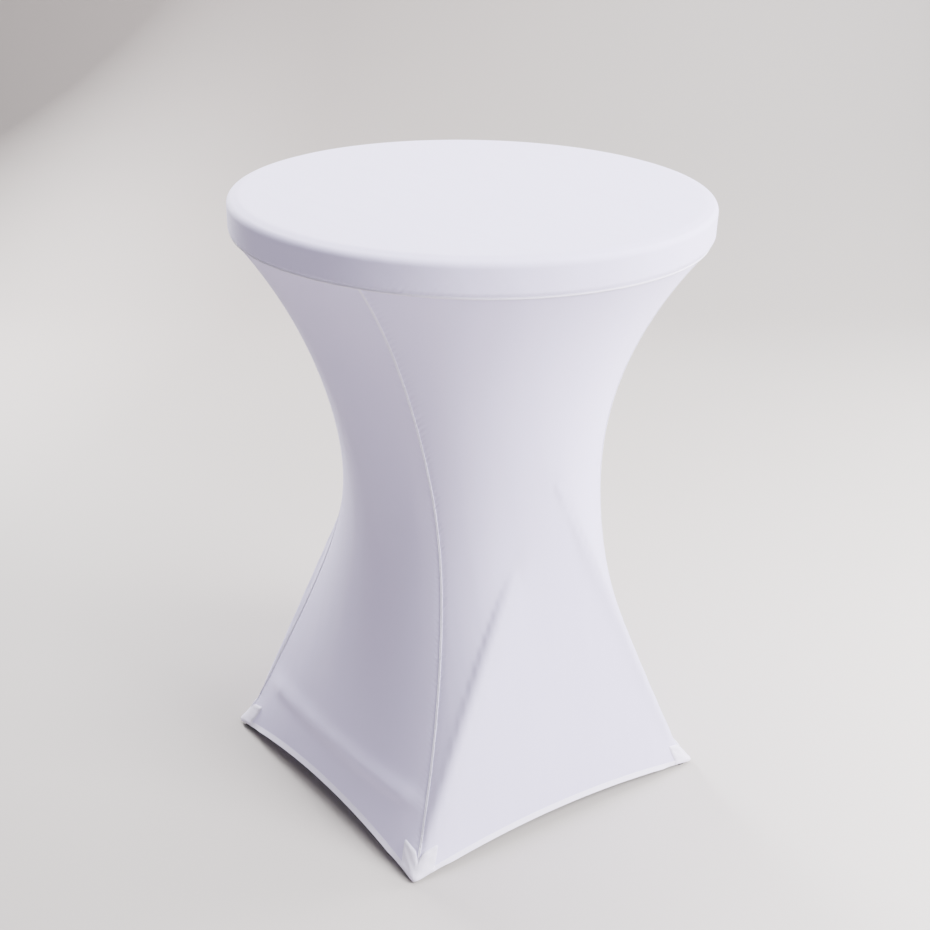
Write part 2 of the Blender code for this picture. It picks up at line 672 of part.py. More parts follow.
def make_skirt(cloth, thread, joint):
    skirt = Skirt()
    reach = POCKET_WIDTH / (FOOT_SPAN_X / COLUMNS)
    for k, side in enumerate(PANELS):
        first, last = k * COLUMNS, (k + 1) * COLUMNS
        us = between(first + SEAM_GAP, last - SEAM_GAP)
        panel = skirt.grid(us, (POCKET_HEIGHT, HEM_HEIGHT + HEM_GAP))
        placed(f"skirt_{side}", thick_sheet(f"skirt_{side}", panel, CLOTH), cloth, joint)
        margin = reach + POCKET_SIDE_GAP
        us = between(first + margin, last - margin)
        strip = np.array([[skirt.at(u, up) for u in us] for up in (HEM_HEIGHT, 0.0)])
        placed(f"hem_{side}", thick_sheet(f"hem_{side}", strip, HEM_THICKNESS), cloth, joint)
    for k, corner in enumerate(CORNERS):
        u = k * COLUMNS
        us = between(u - reach, u + reach)
        ups = (POCKET_HEIGHT, HEM_HEIGHT + HEM_GAP, 0.0)
        patch = np.array([[skirt.at(v, up) for v in us] for up in ups])
        patch = offset_grid(patch, CLOTH + POCKET_GAP)
        placed(f"foot_pocket_{corner}", thick_sheet("pocket", patch, POCKET_CLOTH), cloth, joint)
        make_corner_seam(skirt, u, corner, thread, joint)


def make_corner_seam(skirt, u, corner, thread, joint):
    """The sewn ridge down a corner, from under the rim to the foot pocket."""
    low = POCKET_HEIGHT + SEAM_END_GAP
    high = skirt.length(u) - SEAM_TOP_GAP
    us = (u - SEAM_SIDE_COLUMNS, u, u + SEAM_SIDE_COLUMNS)
    ridge = np.array([[skirt.at(v, up) for v in us] for up in np.linspace(high, low, ROWS)])
    ridge = offset_grid(ridge, CLOTH + GAP + SEAM_RADIUS)
    line = [Vector(p) for p in ridge[:, 1]]
    turns = [2 * math.pi * s / SEAM_SIDES for s in range(SEAM_SIDES)]
    rings = []
    for i, p in enumerate(line):
        tangent = (line[min(i + 1, ROWS - 1)] - line[max(i - 1, 0)]).normalized()
        side_way = tangent.cross(Vector((p.x, p.y, 0))).normalized()
        out_way = side_way.cross(tangent)
        rings.append([p + (side_way * math.cos(t) + out_way * math.sin(t)) * SEAM_RADIUS for t in turns])
    seam = loft(f"corner_seam_{corner}", rings, closed_ends=True)
    placed(f"corner_seam_{corner}", seam, thread, joint)


def joint_empty(name, place):
    made = bpy.data.objects.new(name, None)
    made.location = place
    bpy.context.scene.collection.objects.link(made)
    return made


def main():
    for old in list(bpy.data.objects):
        bpy.data.objects.remove(old)
    plastic = material("moulded_plastic", (0.78, 0.78, 0.76), 0.5)
    steel = material("powder_coated_tube", (0.36, 0.37, 0.39), 0.42)
    zinc = material("zinc_steel", (0.60, 0.60, 0.62), 0.35, 1.0)
    rubber = material("foot_rubber", (0.05, 0.05, 0.055), 0.7)
    nylon = material("nylon", (0.10, 0.10, 0.10), 0.5)
    cloth = material("stretch_cloth", (0.80, 0.79, 0.88), 0.8)
    thread = material("seam_thread", (0.84, 0.83, 0.91), 0.75)

    leg_hinge = joint_empty("leg_hinge_axis", (bar_x, 0.0, bar_z))
    pivot = joint_empty("pivot_axis", (0.0, 0.0, CROSS_HEIGHT))
    lift = joint_empty("cloth_lift_axis", (0.0, 0.0, TABLE_HEIGHT))

    make_tabletop(plastic)
    make_underside(plastic)
    for side in SIDES:
        make_strap(f"hinge_strap_{side}", "hinge", side, zinc)
        make_strap(f"snap_clip_{side}", "clip", side, zinc)
    for name, place in screw_places().items():
        make_screw(name, place, zinc)
    make_frame("inner", -1, inner_foot_y, leg_hinge, (steel, rubber))
    make_frame("outer", 1, outer_foot_y, pivot, (steel, rubber))
    for side, sign in SIDES.items():
        make_pivot(side, sign, leg_hinge, (zinc, nylon))
    make_top_panel(cloth, lift)
    make_rim_seam(thread, lift)
    make_skirt(cloth, thread, lift)


main()
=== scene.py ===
"""Looks for a stretch cloth on its folding bar table: knitted panels hung in tension over the frame,
with their seams, hems and foot pockets, and the table inside with its finishes."""
import json
import math

import bmesh
import bpy
import numpy as np
from mathutils import Matrix, Vector


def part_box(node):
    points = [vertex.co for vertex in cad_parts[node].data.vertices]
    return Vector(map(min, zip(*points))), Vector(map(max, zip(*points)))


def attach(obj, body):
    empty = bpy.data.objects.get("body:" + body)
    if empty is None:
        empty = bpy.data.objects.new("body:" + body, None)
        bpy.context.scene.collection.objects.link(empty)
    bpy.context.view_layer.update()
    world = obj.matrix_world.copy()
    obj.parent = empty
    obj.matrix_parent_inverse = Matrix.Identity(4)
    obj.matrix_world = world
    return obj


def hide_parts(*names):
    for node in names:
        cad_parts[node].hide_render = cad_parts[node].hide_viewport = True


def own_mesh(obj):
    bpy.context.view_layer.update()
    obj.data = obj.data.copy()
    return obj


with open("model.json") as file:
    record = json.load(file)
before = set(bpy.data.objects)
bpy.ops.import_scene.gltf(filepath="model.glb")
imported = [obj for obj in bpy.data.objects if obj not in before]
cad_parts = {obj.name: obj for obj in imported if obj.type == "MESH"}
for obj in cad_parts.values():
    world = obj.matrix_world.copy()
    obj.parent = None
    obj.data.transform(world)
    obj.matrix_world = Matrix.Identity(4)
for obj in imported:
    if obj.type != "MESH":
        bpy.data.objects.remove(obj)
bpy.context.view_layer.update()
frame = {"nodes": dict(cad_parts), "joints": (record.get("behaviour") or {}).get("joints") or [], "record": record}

# ---- sizes from the frame ---------------------------------------------------------------------

record = frame["record"]
joints = {joint["name"]: joint for joint in frame["joints"]}
mounts = {mount["name"]: mount["pos_m"] for mount in record["mounts"]}


def box(node):
    low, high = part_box(node)
    return np.array(low), np.array(high)


top_high = box("tabletop")[1]
edge_r, table_z = top_high[0], top_high[2]
bar_x, _, bar_z = joints["leg_fold"]["pos_m"]
cross_z = joints["scissor_pivot"]["pos_m"][2]
foot_x = mounts["foot_outer_front"][0]
inner_foot_y = abs(mounts["foot_inner_front"][1])
outer_foot_y = abs(mounts["foot_outer_front"][1])
washer_low, washer_high = box("pivot_washer_front")
cross_y = abs(washer_low[1] + washer_high[1]) / 2 + (outer_foot_y - inner_foot_y) / 2
leg_lean = (outer_foot_y - cross_y) / cross_z
crossbar_low, crossbar_high = box("outer_crossbar")
crossbar_z = (crossbar_low[2] + crossbar_high[2]) / 2

# ---- sizes of the cloth and the table's edge ---------------------------------------------------

# Edge of the table
CLOTH = 0.0009
TOUCH = 0.0003               # between the cloth and what it lies on
SHOULDER_WIDTH = 0.019
SHOULDER_DROP = 0.003
EDGE_RADIUS = 0.010
LOWER_RADIUS = 0.007
TOP_DEPTH = 0.054
LEAVING_ANGLE = 33.0         # from level to where the cloth leaves the table's lower edge
LIP_LENGTH = 0.007           # from there to the rim seam
LIP_CHANGE = 0.0035
LIP_WAVER = 0.0006
TOP_STEPS = 256

# Hang of the cloth
TWIST = -14.8                # of the corner seams' tops from their feet
NECKING = 2.5                # how strongly the cloth draws in between rim and floor
HEM_RISE = 0.030
CORNER_LIFT = 0.004
FOOT_SETBACK = 0.022
COLUMNS = 48                 # of the net, across one panel
ROWS = 96
SETTLING = [(12, 24, 1500), (24, 48, 700), (COLUMNS, ROWS, 450)]
SETTLING_SHARE = 0.9         # of the way to its balanced place that a point moves in a step
SETTLING_CARRY = 0.85        # of its last move that it keeps
FINER = 4                    # finer columns to one of the net's
WAIST_SHIFT = 0.010
WAIST_HEIGHT = 0.55
WAIST_REACH = 0.20

# What presses the cloth out
TUBE_RADIUS = 0.0125
TUBE_SLANT = 1.1             # a leaning tube's level width against its own
CAP_RADIUS = 0.0158
CAP_ZONE = 0.055
BAR_PRESS = 0.0085
BAR_PRESS_HEIGHT = 0.017
BAR_PRESS_INSIDE = 0.17      # the side faces start there
BAR_PRESS_BLEND = 0.07
BAR_PRESS_LENGTH = 0.92      # of the way from the middle to the legs
BAR_PRESS_END = 0.05
BOLT_PRESS = 0.0052
BOLT_PRESS_HEIGHT = 0.035
FOOT_ROUND = 0.024
FOOT_ROUND_HEIGHT = 0.060
FOOT_ROUND_BLEND = 0.02
FOOT_ROUND_REACH = 0.05
FOOT_ROUND_KEEP = 0.35       # of the cloth's reach past the round

# Panels, hems, seams and pockets
PANEL_COLUMNS = 96
PANEL_ROWS = 190
PANEL_SIDE_GAP = 0.02
SEAM_DIP = 0.0011            # how far a panel is drawn in at its corner seams
SEAM_DIP_WIDTH = 0.006
SEAM_WIDTH = 0.0044
SEAM_HEIGHT = 0.0007
SEAM_ROWS = 420
SEAM_STEPS = 15
SEAM_OVERLAP = 0.72          # of a pocket's height, where the seam's strip ends behind it
HEM_HEIGHT = 0.0105
HEM_THICKNESS = 0.0024
HEM_STEPS = 180
HEM_SEWN = 0.80              # of the hem's height
HEM_FLARE = 0.0032
HEM_TUCK = 0.010             # of each end behind a pocket
HEM_WAVE = 0.00018
HEM_WAVE_LENGTH = 0.0075
POCKET_WIDTH = 0.041
POCKET_HEIGHT = 0.050
POCKET_THICKNESS = 0.0030
POCKET_NOTCH = 0.010
POCKET_NOTCH_WIDTH = 0.0055
POCKET_SEWN = 0.0032         # from the patch's edge to its stitching
POCKET_STEPS = 72
SEWN_WIDTH = 0.0009          # of the dent that a row of stitches pulls
RIM_SEAM_OUT = 0.0019
RIM_SEAM_DOWN = 0.0020
RIM_SEAM_SIDES = 12
RIM_STITCHES_UP = 0.0034     # from the rim seam
CUT_SHARE = 0.9              # of the worn length, as cut
CUT_FILL = 0.78              # of the cut panel's rectangle

# Thread and knit
STITCH_SPACING = 0.0036
STITCH_LENGTH = 0.0030
THREAD_RADIUS = 0.00042
THREAD_OUT = 0.0004
KNIT_PITCH = 0.0011
PUCKER_SPACING = 0.0115
PUCKER_REACH = 0.0075
TUBE_SHADE_REACH = 0.010         # how near a tube must lie for painted shade to darken the cloth over it

# Stage, light and camera
CAMERA_TURN = -36.09
CAMERA_TILT = 62.05
CAMERA_ROLL = 0.42
CAMERA_PLACE = (-1.4486, -1.8237, 1.668)
CAMERA_LENS = 54.66
CAMERA_SENSOR = 36.0
CAMERA_SHIFT = (0.0591, 0.0882)
LIGHT_AIM = (0, 0, 0.6)
LIGHT_COLOUR = (1.0, 1.0, 1.0)
LIGHTS = [("window_light", (2.65, -1.45, 2.4), (1.7, 1.7), 460.0),
          ("side_light", (3.0, 1.2, 1.6), (1.2, 2.0), 165.0),
          ("rim_light", (-1.9, 3.0, 1.7), (0.9, 0.9), 320.0),
          ("overhead", (0.0, 0.3, 3.6), (2.2, 2.2), 185.0)]
ROOM_COLOUR = (0.90, 0.92, 1.0, 1.0)
ROOM_STRENGTH = 0.43
FLOOR_HALF_WIDTH = 9.0
FLOOR_FRONT = -6.0
BACKDROP_START = 2.6
BACKDROP_BEND = 1.2
BACKDROP_HEIGHT = 6.0
# the two ends of the floor's painted shade and painted light
FLOOR_PAINTED_SHADE = (0.31, 0.279, 0.270)
FLOOR_PAINTED_LIGHT = (0.58, 0.543, 0.526)

SIDE_NAMES = ("front", "right", "back", "left")
CORNER_NAMES = ("front_left", "front_right", "back_right", "back_left")


def leg_y(foot_y, z):
    return foot_y - leg_lean * z


def pushed_out(points):
    """The points moved level, out of the outline round the four legs at their height."""
    z = points[..., 2]
    half_x = np.abs(foot_x * (1 - z / cross_z))
    below = z < cross_z
    inner_y, outer_y = leg_y(inner_foot_y, z), leg_y(outer_foot_y, z)
    corner_a = np.stack([-half_x, np.where(below, inner_y, outer_y)], axis=-1)
    corner_b = np.stack([half_x, np.where(below, outer_y, inner_y)], axis=-1)
    sign_y = np.where(points[..., 1:2] < 0, -1.0, 1.0)
    flat = np.concatenate([points[..., :1], points[..., 1:2] * sign_y], axis=-1)
    level = np.array([1.0, 0.0])
    best = np.full(flat.shape[:-1], np.inf)
    near, outward = flat.copy(), flat.copy()
    inside = np.ones(flat.shape[:-1], bool)
    for start, end in ((corner_a * level, corner_a), (corner_a, corner_b), (corner_b, corner_b * level)):
        along = end - start
        length = np.maximum(np.linalg.norm(along, axis=-1, keepdims=True), 1e-9)
        normal = np.stack([-along[..., 1], along[..., 0]], axis=-1) / length
        share = np.sum((flat - start) * along, axis=-1, keepdims=True) / length ** 2
        place = start + np.clip(share, 0, 1) * along
        distance = np.linalg.norm(flat - place, axis=-1)
        closer = distance < best
        best = np.where(closer, distance, best)
        near = np.where(closer[..., None], place, near)
        outward = np.where(closer[..., None], normal, outward)
        inside &= np.sum((flat - start) * normal, axis=-1) < 0
    away = np.where(inside[..., None], outward, (flat - near) / np.maximum(best, 1e-9)[..., None])
    cap = np.clip((CAP_ZONE - z) / (0.4 * CAP_ZONE), 0, 1)
    radius = (TUBE_RADIUS + (CAP_RADIUS - TUBE_RADIUS) * cap) * TUBE_SLANT + TOUCH
    radius = radius + BOLT_PRESS * np.exp(-((z - cross_z) / BOLT_PRESS_HEIGHT) ** 2)
    caught = inside | (best < radius)
    flat = np.where(caught[..., None], near + away * radius[..., None], flat)
    return np.concatenate([flat[..., :1], flat[..., 1:2] * sign_y, points[..., 2:]], axis=-1)


def leaving_place(offset):
    """Radius and height where the cloth leaves the tabletop's lower edge."""
    away = math.radians(LEAVING_ANGLE)
    r = edge_r - LOWER_RADIUS + (LOWER_RADIUS + offset) * math.cos(away)
    z = table_z - TOP_DEPTH + LOWER_RADIUS - (LOWER_RADIUS + offset) * math.sin(away)
    return r, z


def column_angles(columns):
    """The rim's angle at each column, turned from the feet by the cloth's twist."""
    corners = [(-1, -inner_foot_y), (1, -outer_foot_y), (1, outer_foot_y), (-1, inner_foot_y)]
    corners = [(x * (foot_x + FOOT_SETBACK), y + math.copysign(FOOT_SETBACK, y)) for x, y in corners]
    angles = []
    for (x, y), (nx, ny) in zip(corners, corners[1:] + corners[:1]):
        first, last = math.atan2(y, x), math.atan2(ny, nx)
        last += 2 * math.pi if last < first else 0
        angles += [first + (last - first) * c / columns for c in range(columns)]
    return np.array(angles) + math.radians(TWIST), np.array(corners)


def lip_at(angles):
    """The cloth's length from the tabletop's edge to the rim seam, which runs a little uneven."""
    return LIP_LENGTH + LIP_CHANGE * np.cos(angles - math.radians(-20)) + LIP_WAVER * np.sin(5 * angles)


def rim_ring(angles, offset):
    r, z = leaving_place(offset)
    away = math.radians(LEAVING_ANGLE)
    lip = lip_at(angles)
    ring_r, ring_z = r - lip * math.sin(away), z - lip * math.cos(away)
    return np.stack([ring_r * np.cos(angles), ring_r * np.sin(angles), ring_z], axis=-1)


def settle(net, columns, rows, steps):
    """Relaxes the net between its rim and its corners, held off the frame."""
    count = 4 * columns
    angles, corners = column_angles(columns)
    rim = rim_ring(angles, TOUCH)
    round_pull = (NECKING * count / (2 * math.pi * rows)) ** 2
    hem_pull = rim[:, 2].mean() * columns ** 2 / (8 * rows * HEM_RISE)
    held = np.arange(count) % columns == 0
    feet = np.concatenate([corners, np.full((4, 1), CORNER_LIFT)], axis=1)
    before = net.copy()
    for _ in range(steps):
        beside = np.roll(net, 1, axis=1) + np.roll(net, -1, axis=1)
        target = net.copy()
        target[1:-1] = (net[:-2] + net[2:] + round_pull * beside[1:-1]) / (2 + 2 * round_pull)
        target[-1] = (net[-2] + hem_pull * beside[-1]) / (1 + 2 * hem_pull)
        moved = net + SETTLING_SHARE * (target - net) + SETTLING_CARRY * (net - before)
        before, net = net, pushed_out(moved)
        net[0], net[-1, held] = rim, feet
    return net


def finer(net, columns, rows):
    """The net with more columns and rows, on straight lines between its own."""
    old_rows, old_columns = net.shape[:2]
    net = np.concatenate([net, net[:, :1]], axis=1)
    u = np.linspace(0, old_columns, 4 * columns, endpoint=False)
    v = np.linspace(0, old_rows - 1, rows + 1)
    i, j = np.minimum(v.astype(int), old_rows - 2), u.astype(int)
    fv, fu = (v - i)[:, None, None], (u - j)[None, :, None]
    top = net[i][:, j] * (1 - fu) + net[i][:, j + 1] * fu
    low = net[i + 1][:, j] * (1 - fu) + net[i + 1][:, j + 1] * fu
    return top * (1 - fv) + low * fv


def hang_net():
    """The skirt's inner face at rest: rows from the rim seam to the hem, columns round the table."""
    columns = SETTLING[0][0]
    angles, corners = column_angles(columns)
    share = np.tile(np.arange(columns) / columns, 4)[:, None]
    first = np.repeat(corners, columns, axis=0)
    following = np.repeat(np.roll(corners, -1, axis=0), columns, axis=0)
    hem = first + (following - first) * share
    rise = CORNER_LIFT + 4 * HEM_RISE * share * (1 - share)
    hem = np.concatenate([hem, rise], axis=1)
    down = np.linspace(0, 1, SETTLING[0][1] + 1)[:, None, None]
    net = rim_ring(angles, TOUCH)[None] * (1 - down) + hem[None] * down
    for columns, rows, steps in SETTLING:
        net = settle(finer(net, columns, rows), columns, rows, steps)
    return pressed_by_bars(net)


def pressed_by_bars(net):
    """The net with a soft ridge over each low crossbar, and drawn a little to +X at its waist."""
    x, y, z = net[..., 0], net[..., 1], net[..., 2]
    face = np.clip((np.abs(x) - BAR_PRESS_INSIDE) / BAR_PRESS_BLEND, 0, 1)
    along = np.clip((inner_foot_y * BAR_PRESS_LENGTH - np.abs(y)) / BAR_PRESS_END, 0, 1)
    press = BAR_PRESS * np.exp(-((z - crossbar_z) / BAR_PRESS_HEIGHT) ** 2)
    shift = WAIST_SHIFT * np.exp(-((z - WAIST_HEIGHT) / WAIST_REACH) ** 2)
    net = net.copy()
    net[..., 0] += np.sign(x) * press * face * along + shift
    return pushed_out(net)


def smooth_between(points, factor):
    """Points on cubic curves through the given ones, along the first axis."""
    before = np.concatenate([2 * points[:1] - points[1:2], points[:-2]])
    after = np.concatenate([points[2:], 2 * points[-1:] - points[-2:-1]])
    start, end = points[:-1], points[1:]
    t = (np.arange(factor) / factor).reshape(1, -1, *([1] * (points.ndim - 1)))
    a, b, c, d = (p[:, None] for p in (before, start, end, after))
    curve = b + 0.5 * t * ((c - a) + t * ((2 * a - 5 * b + 4 * c - d) + t * (3 * (b - c) + d - a)))
    return np.concatenate([curve.reshape(-1, *points.shape[1:]), points[-1:]])


def rounded_feet(points):
    """The cloth drawn in round each foot cap, so that its corners are blunt near the floor."""
    points = points.copy()
    for side, y in ((-1, inner_foot_y), (1, outer_foot_y)):
        for sign in (-1, 1):
            axis = np.array([side * foot_x, sign * y])
            away = points[..., :2] - axis
            reach = np.linalg.norm(away, axis=-1)
            low = np.clip((FOOT_ROUND_HEIGHT - points[..., 2]) / FOOT_ROUND_BLEND, 0, 1)
            past = np.clip(reach - FOOT_ROUND, 0, None)
            corner = np.all(np.abs(points[..., :2]) > np.abs(axis), axis=-1)
            kept = FOOT_ROUND + past * FOOT_ROUND_KEEP
            share = low * (1 - kept / np.maximum(reach, 1e-9))
            share = np.clip(np.where(corner & (reach < FOOT_ROUND_REACH), share, 0), 0, 1)
            points[..., :2] -= away * share[..., None]
    return points


class HungCloth:
    """The hung skirt as a surface. u counts net columns round it, up is the distance from the hem."""

    def __init__(self, net):
        rising = net[::-1]
        sides = []
        for k in range(4):
            columns = np.arange(k * COLUMNS, (k + 1) * COLUMNS + 1) % (4 * COLUMNS)
            panel = smooth_between(rising[:, columns], FINER)
            panel = smooth_between(panel.transpose(1, 0, 2), FINER)
            sides.append(panel[:-1])
        columns = np.concatenate(sides)
        steps = np.linalg.norm(np.diff(columns, axis=1), axis=2)
        along = np.concatenate([np.zeros((len(columns), 1)), np.cumsum(steps, axis=1)], axis=1)
        self.length = along[:, -1]
        self.count = columns.shape[1] - 1
        columns = rounded_feet(columns)
        even = np.linspace(0, 1, self.count + 1)
        self.table = np.stack([
            np.stack([np.interp(even * reach[-1], reach, line[:, k]) for k in range(3)], axis=-1)
            for reach, line in zip(along, columns)])

    def on_column(self, column, up):
        column = column % len(self.table)
        place = np.clip(up / self.length[column] * self.count, 0, self.count)
        row = np.minimum(place.astype(int), self.count - 1)
        share = (place - row)[..., None]
        return self.table[column, row] * (1 - share) + self.table[column, row + 1] * share

    def at(self, u, up):
        u, up = np.broadcast_arrays(np.asarray(u, float) * FINER, np.asarray(up, float))
        column = np.floor(u).astype(int)
        share = (u - column)[..., None]
        return self.on_column(column, up) * (1 - share) + self.on_column(column + 1, up) * share

    def length_at(self, u):
        u = np.asarray(u, float) * FINER
        column = np.floor(u).astype(int)
        share = u - column
        size = len(self.length)
        return self.length[column % size] * (1 - share) + self.length[(column + 1) % size] * share

    def beside(self, corner, distance, up):
        """The column that lies that distance to the side of a corner, at each distance up."""
        side = np.where(np.asarray(distance) < 0, -1.0, 1.0)
        width = np.linalg.norm(self.at(corner + side, up) - self.at(corner, up), axis=-1)
        return corner + distance / width


# ---- meshes ------------------------------------------------------------------------------------

def grid_normals(grid):
    """Unit normals of a grid of points that face away from the table's middle line."""
    across = np.gradient(grid, axis=1)
    down = np.gradient(grid, axis=0)
    normals = np.cross(across, down)
    normals /= np.maximum(np.linalg.norm(normals, axis=-1, keepdims=True), 1e-12)
    outwards = np.sum(normals[..., :2] * grid[..., :2]) > 0
    return normals if outwards else -normals


def mesh_piece(name, points, faces, material, uv=None, values=None, crease=45.0):
    """A piece at the origin with its faces turned outwards, its UV map in metres, and its attributes."""
    mesh = bpy.data.meshes.new(name)
    mesh.from_pydata(np.asarray(points, float).tolist(), [], faces)
    work = bmesh.new()
    work.from_mesh(mesh)
    bmesh.ops.recalc_face_normals(work, faces=work.faces)
    if work.calc_volume(signed=True) < 0:
        bmesh.ops.reverse_faces(work, faces=work.faces)
    work.to_mesh(mesh)
    work.free()
    if uv is not None:
        corner_points = np.zeros(len(mesh.loops), int)
        mesh.loops.foreach_get("vertex_index", corner_points)
        layer = mesh.uv_layers.new(name="cloth_metres")
        layer.data.foreach_set("uv", np.asarray(uv, float)[corner_points].ravel())
    for key, numbers in (values or {}).items():
        attribute = mesh.attributes.new(key, "FLOAT", "POINT")
        attribute.data.foreach_set("value", np.asarray(numbers, float).ravel())
    mesh.shade_smooth()
    mesh.set_sharp_from_angle(angle=math.radians(crease))
    mesh.materials.append(material)
    made = bpy.data.objects.new(name, mesh)
    bpy.context.scene.collection.objects.link(made)
    return made


def cloth_values(near, behind=None):
    """What the cloth's finish reads: how near a seam is, and how strongly painted shade darkens it where a tube
    lies close behind.
    """
    return {"seam_near": near, "tube_behind": 0 * near if behind is None else behind}


def sheet_piece(name, inner, outer, material, uv, values=None):
    """A closed sheet between two grids of points."""
    rows, columns = inner.shape[:2]
    lift = rows * columns
    index = np.arange(lift).reshape(rows, columns)
    a, b, c, d = index[:-1, :-1], index[:-1, 1:], index[1:, 1:], index[1:, :-1]
    faces = np.stack([a, b, c, d], axis=-1).reshape(-1, 4)
    faces = np.concatenate([faces, faces[:, ::-1] + lift]).tolist()
    border = np.concatenate([index[0], index[1:, -1], index[-1, -2::-1], index[-2:0:-1, 0]])
    for p, q in zip(border.tolist(), np.roll(border, -1).tolist()):
        faces.append((p, q, q + lift, p + lift))
    points = np.concatenate([inner.reshape(-1, 3), outer.reshape(-1, 3)])
    uv = np.tile(np.asarray(uv, float).reshape(-1, 2), (2, 1))
    doubled = {key: np.tile(np.asarray(v, float).ravel(), 2) for key, v in (values or {}).items()}
    return mesh_piece(name, points, faces, material, uv, doubled)


def loop_piece(name, loops, material, uv, cyclic, values=None):
    """A closed skin over a row of closed loops, which join up into a ring if cyclic."""
    count, sides = loops.shape[:2]
    index = np.arange(count * sides).reshape(count, sides)
    if cyclic:
        first, second = index, np.roll(index, -1, axis=0)
    else:
        first, second = index[:-1], index[1:]
    quads = np.stack([first, np.roll(first, -1, axis=1), np.roll(second, -1, axis=1), second], axis=-1)
    faces = quads.reshape(-1, 4).tolist()
    if not cyclic:
        faces += [tuple(index[0].tolist()), tuple(index[-1].tolist())]
    return mesh_piece(name, loops.reshape(-1, 3), faces, material, uv.reshape(-1, 2), values)


def painted_shade_over_tubes(points):
    """The weight of painted shade at each point, from 0 to 1, strongest where a tube lies against the cloth."""
    flat = points.reshape(-1, 3)
    nearest = np.full(len(flat), np.inf)
    for start, end in tube_lines():
        along = end - start
        share = np.clip((flat - start) @ along / (along @ along), 0, 1)
        reach = np.linalg.norm(flat - start - share[:, None] * along, axis=1)
        nearest = np.minimum(nearest, reach)
    gap = np.maximum(nearest - TUBE_RADIUS - CLOTH, 0)
    return np.exp(-(gap / TUBE_SHADE_REACH) ** 2).reshape(points.shape[:-1])


def tube_lines():
    """The axes of the legs and the low crossbars."""
    lines = []
    for foot_side, foot_y in ((-1, inner_foot_y), (1, outer_foot_y)):
        bar_place = foot_side * foot_x * (1 - crossbar_z / cross_z)
        reach = leg_y(foot_y, crossbar_z)
        lines.append(tuple(np.array([bar_place, sign * reach, crossbar_z]) for sign in (-1, 1)))
        for sign in (-1, 1):
            foot = np.array([foot_side * foot_x, sign * foot_y, 0.0])
            top = np.array([-foot_side * bar_x, sign * leg_y(foot_y, bar_z), bar_z])
            lines.append((foot, top))
    return lines


# ---- the cover's pieces --------------------------------------------------------------------------

def edge_profile(offset):
    """Radius and height over the tabletop's edge, from its shoulder to where the cloth leaves it."""
    upper = (edge_r - EDGE_RADIUS, table_z - SHOULDER_DROP - EDGE_RADIUS)
    lower = (edge_r - LOWER_RADIUS, table_z - TOP_DEPTH + LOWER_RADIUS)
    points = [(edge_r - SHOULDER_WIDTH - 0.006, table_z + offset),
              (edge_r - SHOULDER_WIDTH, table_z + offset - 0.0001),
              (edge_r - SHOULDER_WIDTH + 0.004, table_z + offset - 0.0009)]
    turns = np.radians(np.linspace(78, 0, 14))
    r = EDGE_RADIUS + offset
    points += [(upper[0] + r * math.cos(t), upper[1] + r * math.sin(t)) for t in turns]
    high, low = upper[1], lower[1]
    points += [(edge_r + offset, high + (low - high) * i / 7) for i in range(1, 7)]
    turns = np.radians(np.linspace(0, -LEAVING_ANGLE, 9))
    r = LOWER_RADIUS + offset
    points += [(lower[0] + r * math.cos(t), lower[1] + r * math.sin(t)) for t in turns]
    return np.array(points)


def top_panel_piece(material):
    """The cloth over the tabletop and round its edge, down to the rim seam."""
    angles = np.linspace(0, 2 * math.pi, TOP_STEPS, endpoint=False)
    away = math.radians(LEAVING_ANGLE)
    lip = lip_at(angles)
    surfaces = []
    for offset in (TOUCH, TOUCH + CLOTH):
        profile = edge_profile(offset)
        flat_r = np.linspace(0.02, profile[0, 0], 14)[:-1]
        middle = np.stack([flat_r, np.full(len(flat_r), profile[0, 1])], axis=-1)
        profile = np.concatenate([middle, profile])
        rings = np.repeat(profile[:, None], TOP_STEPS, axis=1)
        shares = np.linspace(0, 1, 6)[1:]
        last = profile[-1]
        free = np.stack([last[0] - shares[:, None] * lip * math.sin(away),
                         last[1] - shares[:, None] * lip * math.cos(away)], axis=-1)
        rings = np.concatenate([rings, free])
        r, z = rings[..., 0], rings[..., 1]
        surfaces.append(np.stack([r * np.cos(angles), r * np.sin(angles), z], axis=-1))
    inner, outer = surfaces
    rows = inner.shape[0]
    lift = rows * TOP_STEPS
    index = np.arange(lift).reshape(rows, TOP_STEPS)
    beside = np.roll(index, -1, axis=1)
    quads = np.stack([index[:-1], beside[:-1], beside[1:], index[1:]], axis=-1).reshape(-1, 4)
    faces = np.concatenate([quads, quads[:, ::-1] + lift]).tolist()
    rim = np.stack([index[-1], beside[-1], beside[-1] + lift, index[-1] + lift], axis=-1)
    faces += rim.tolist()
    for k in range(TOP_STEPS):
        follow = (k + 1) % TOP_STEPS
        faces.append((2 * lift, follow, k))
        faces.append((2 * lift + 1, lift + k, lift + follow))
    poles = np.array([[0, 0, table_z + TOUCH], [0, 0, table_z + TOUCH + CLOTH]])
    points = np.concatenate([inner.reshape(-1, 3), outer.reshape(-1, 3), poles])
    steps = np.linalg.norm(np.diff(outer, axis=0), axis=-1)
    reach = np.concatenate([np.full((1, TOP_STEPS), 0.02), 0.02 + np.cumsum(steps, axis=0)])
    uv = np.stack([reach * np.cos(angles), reach * np.sin(angles)], axis=-1).reshape(-1, 2)
    uv = np.concatenate([uv, uv, np.zeros((2, 2))])
    seam_near = (reach[-1] - reach).ravel()
    seam_near = np.concatenate([seam_near, seam_near, [edge_r, edge_r]])
    return mesh_piece("cover_top_panel", points, faces, material, uv, cloth_values(seam_near))


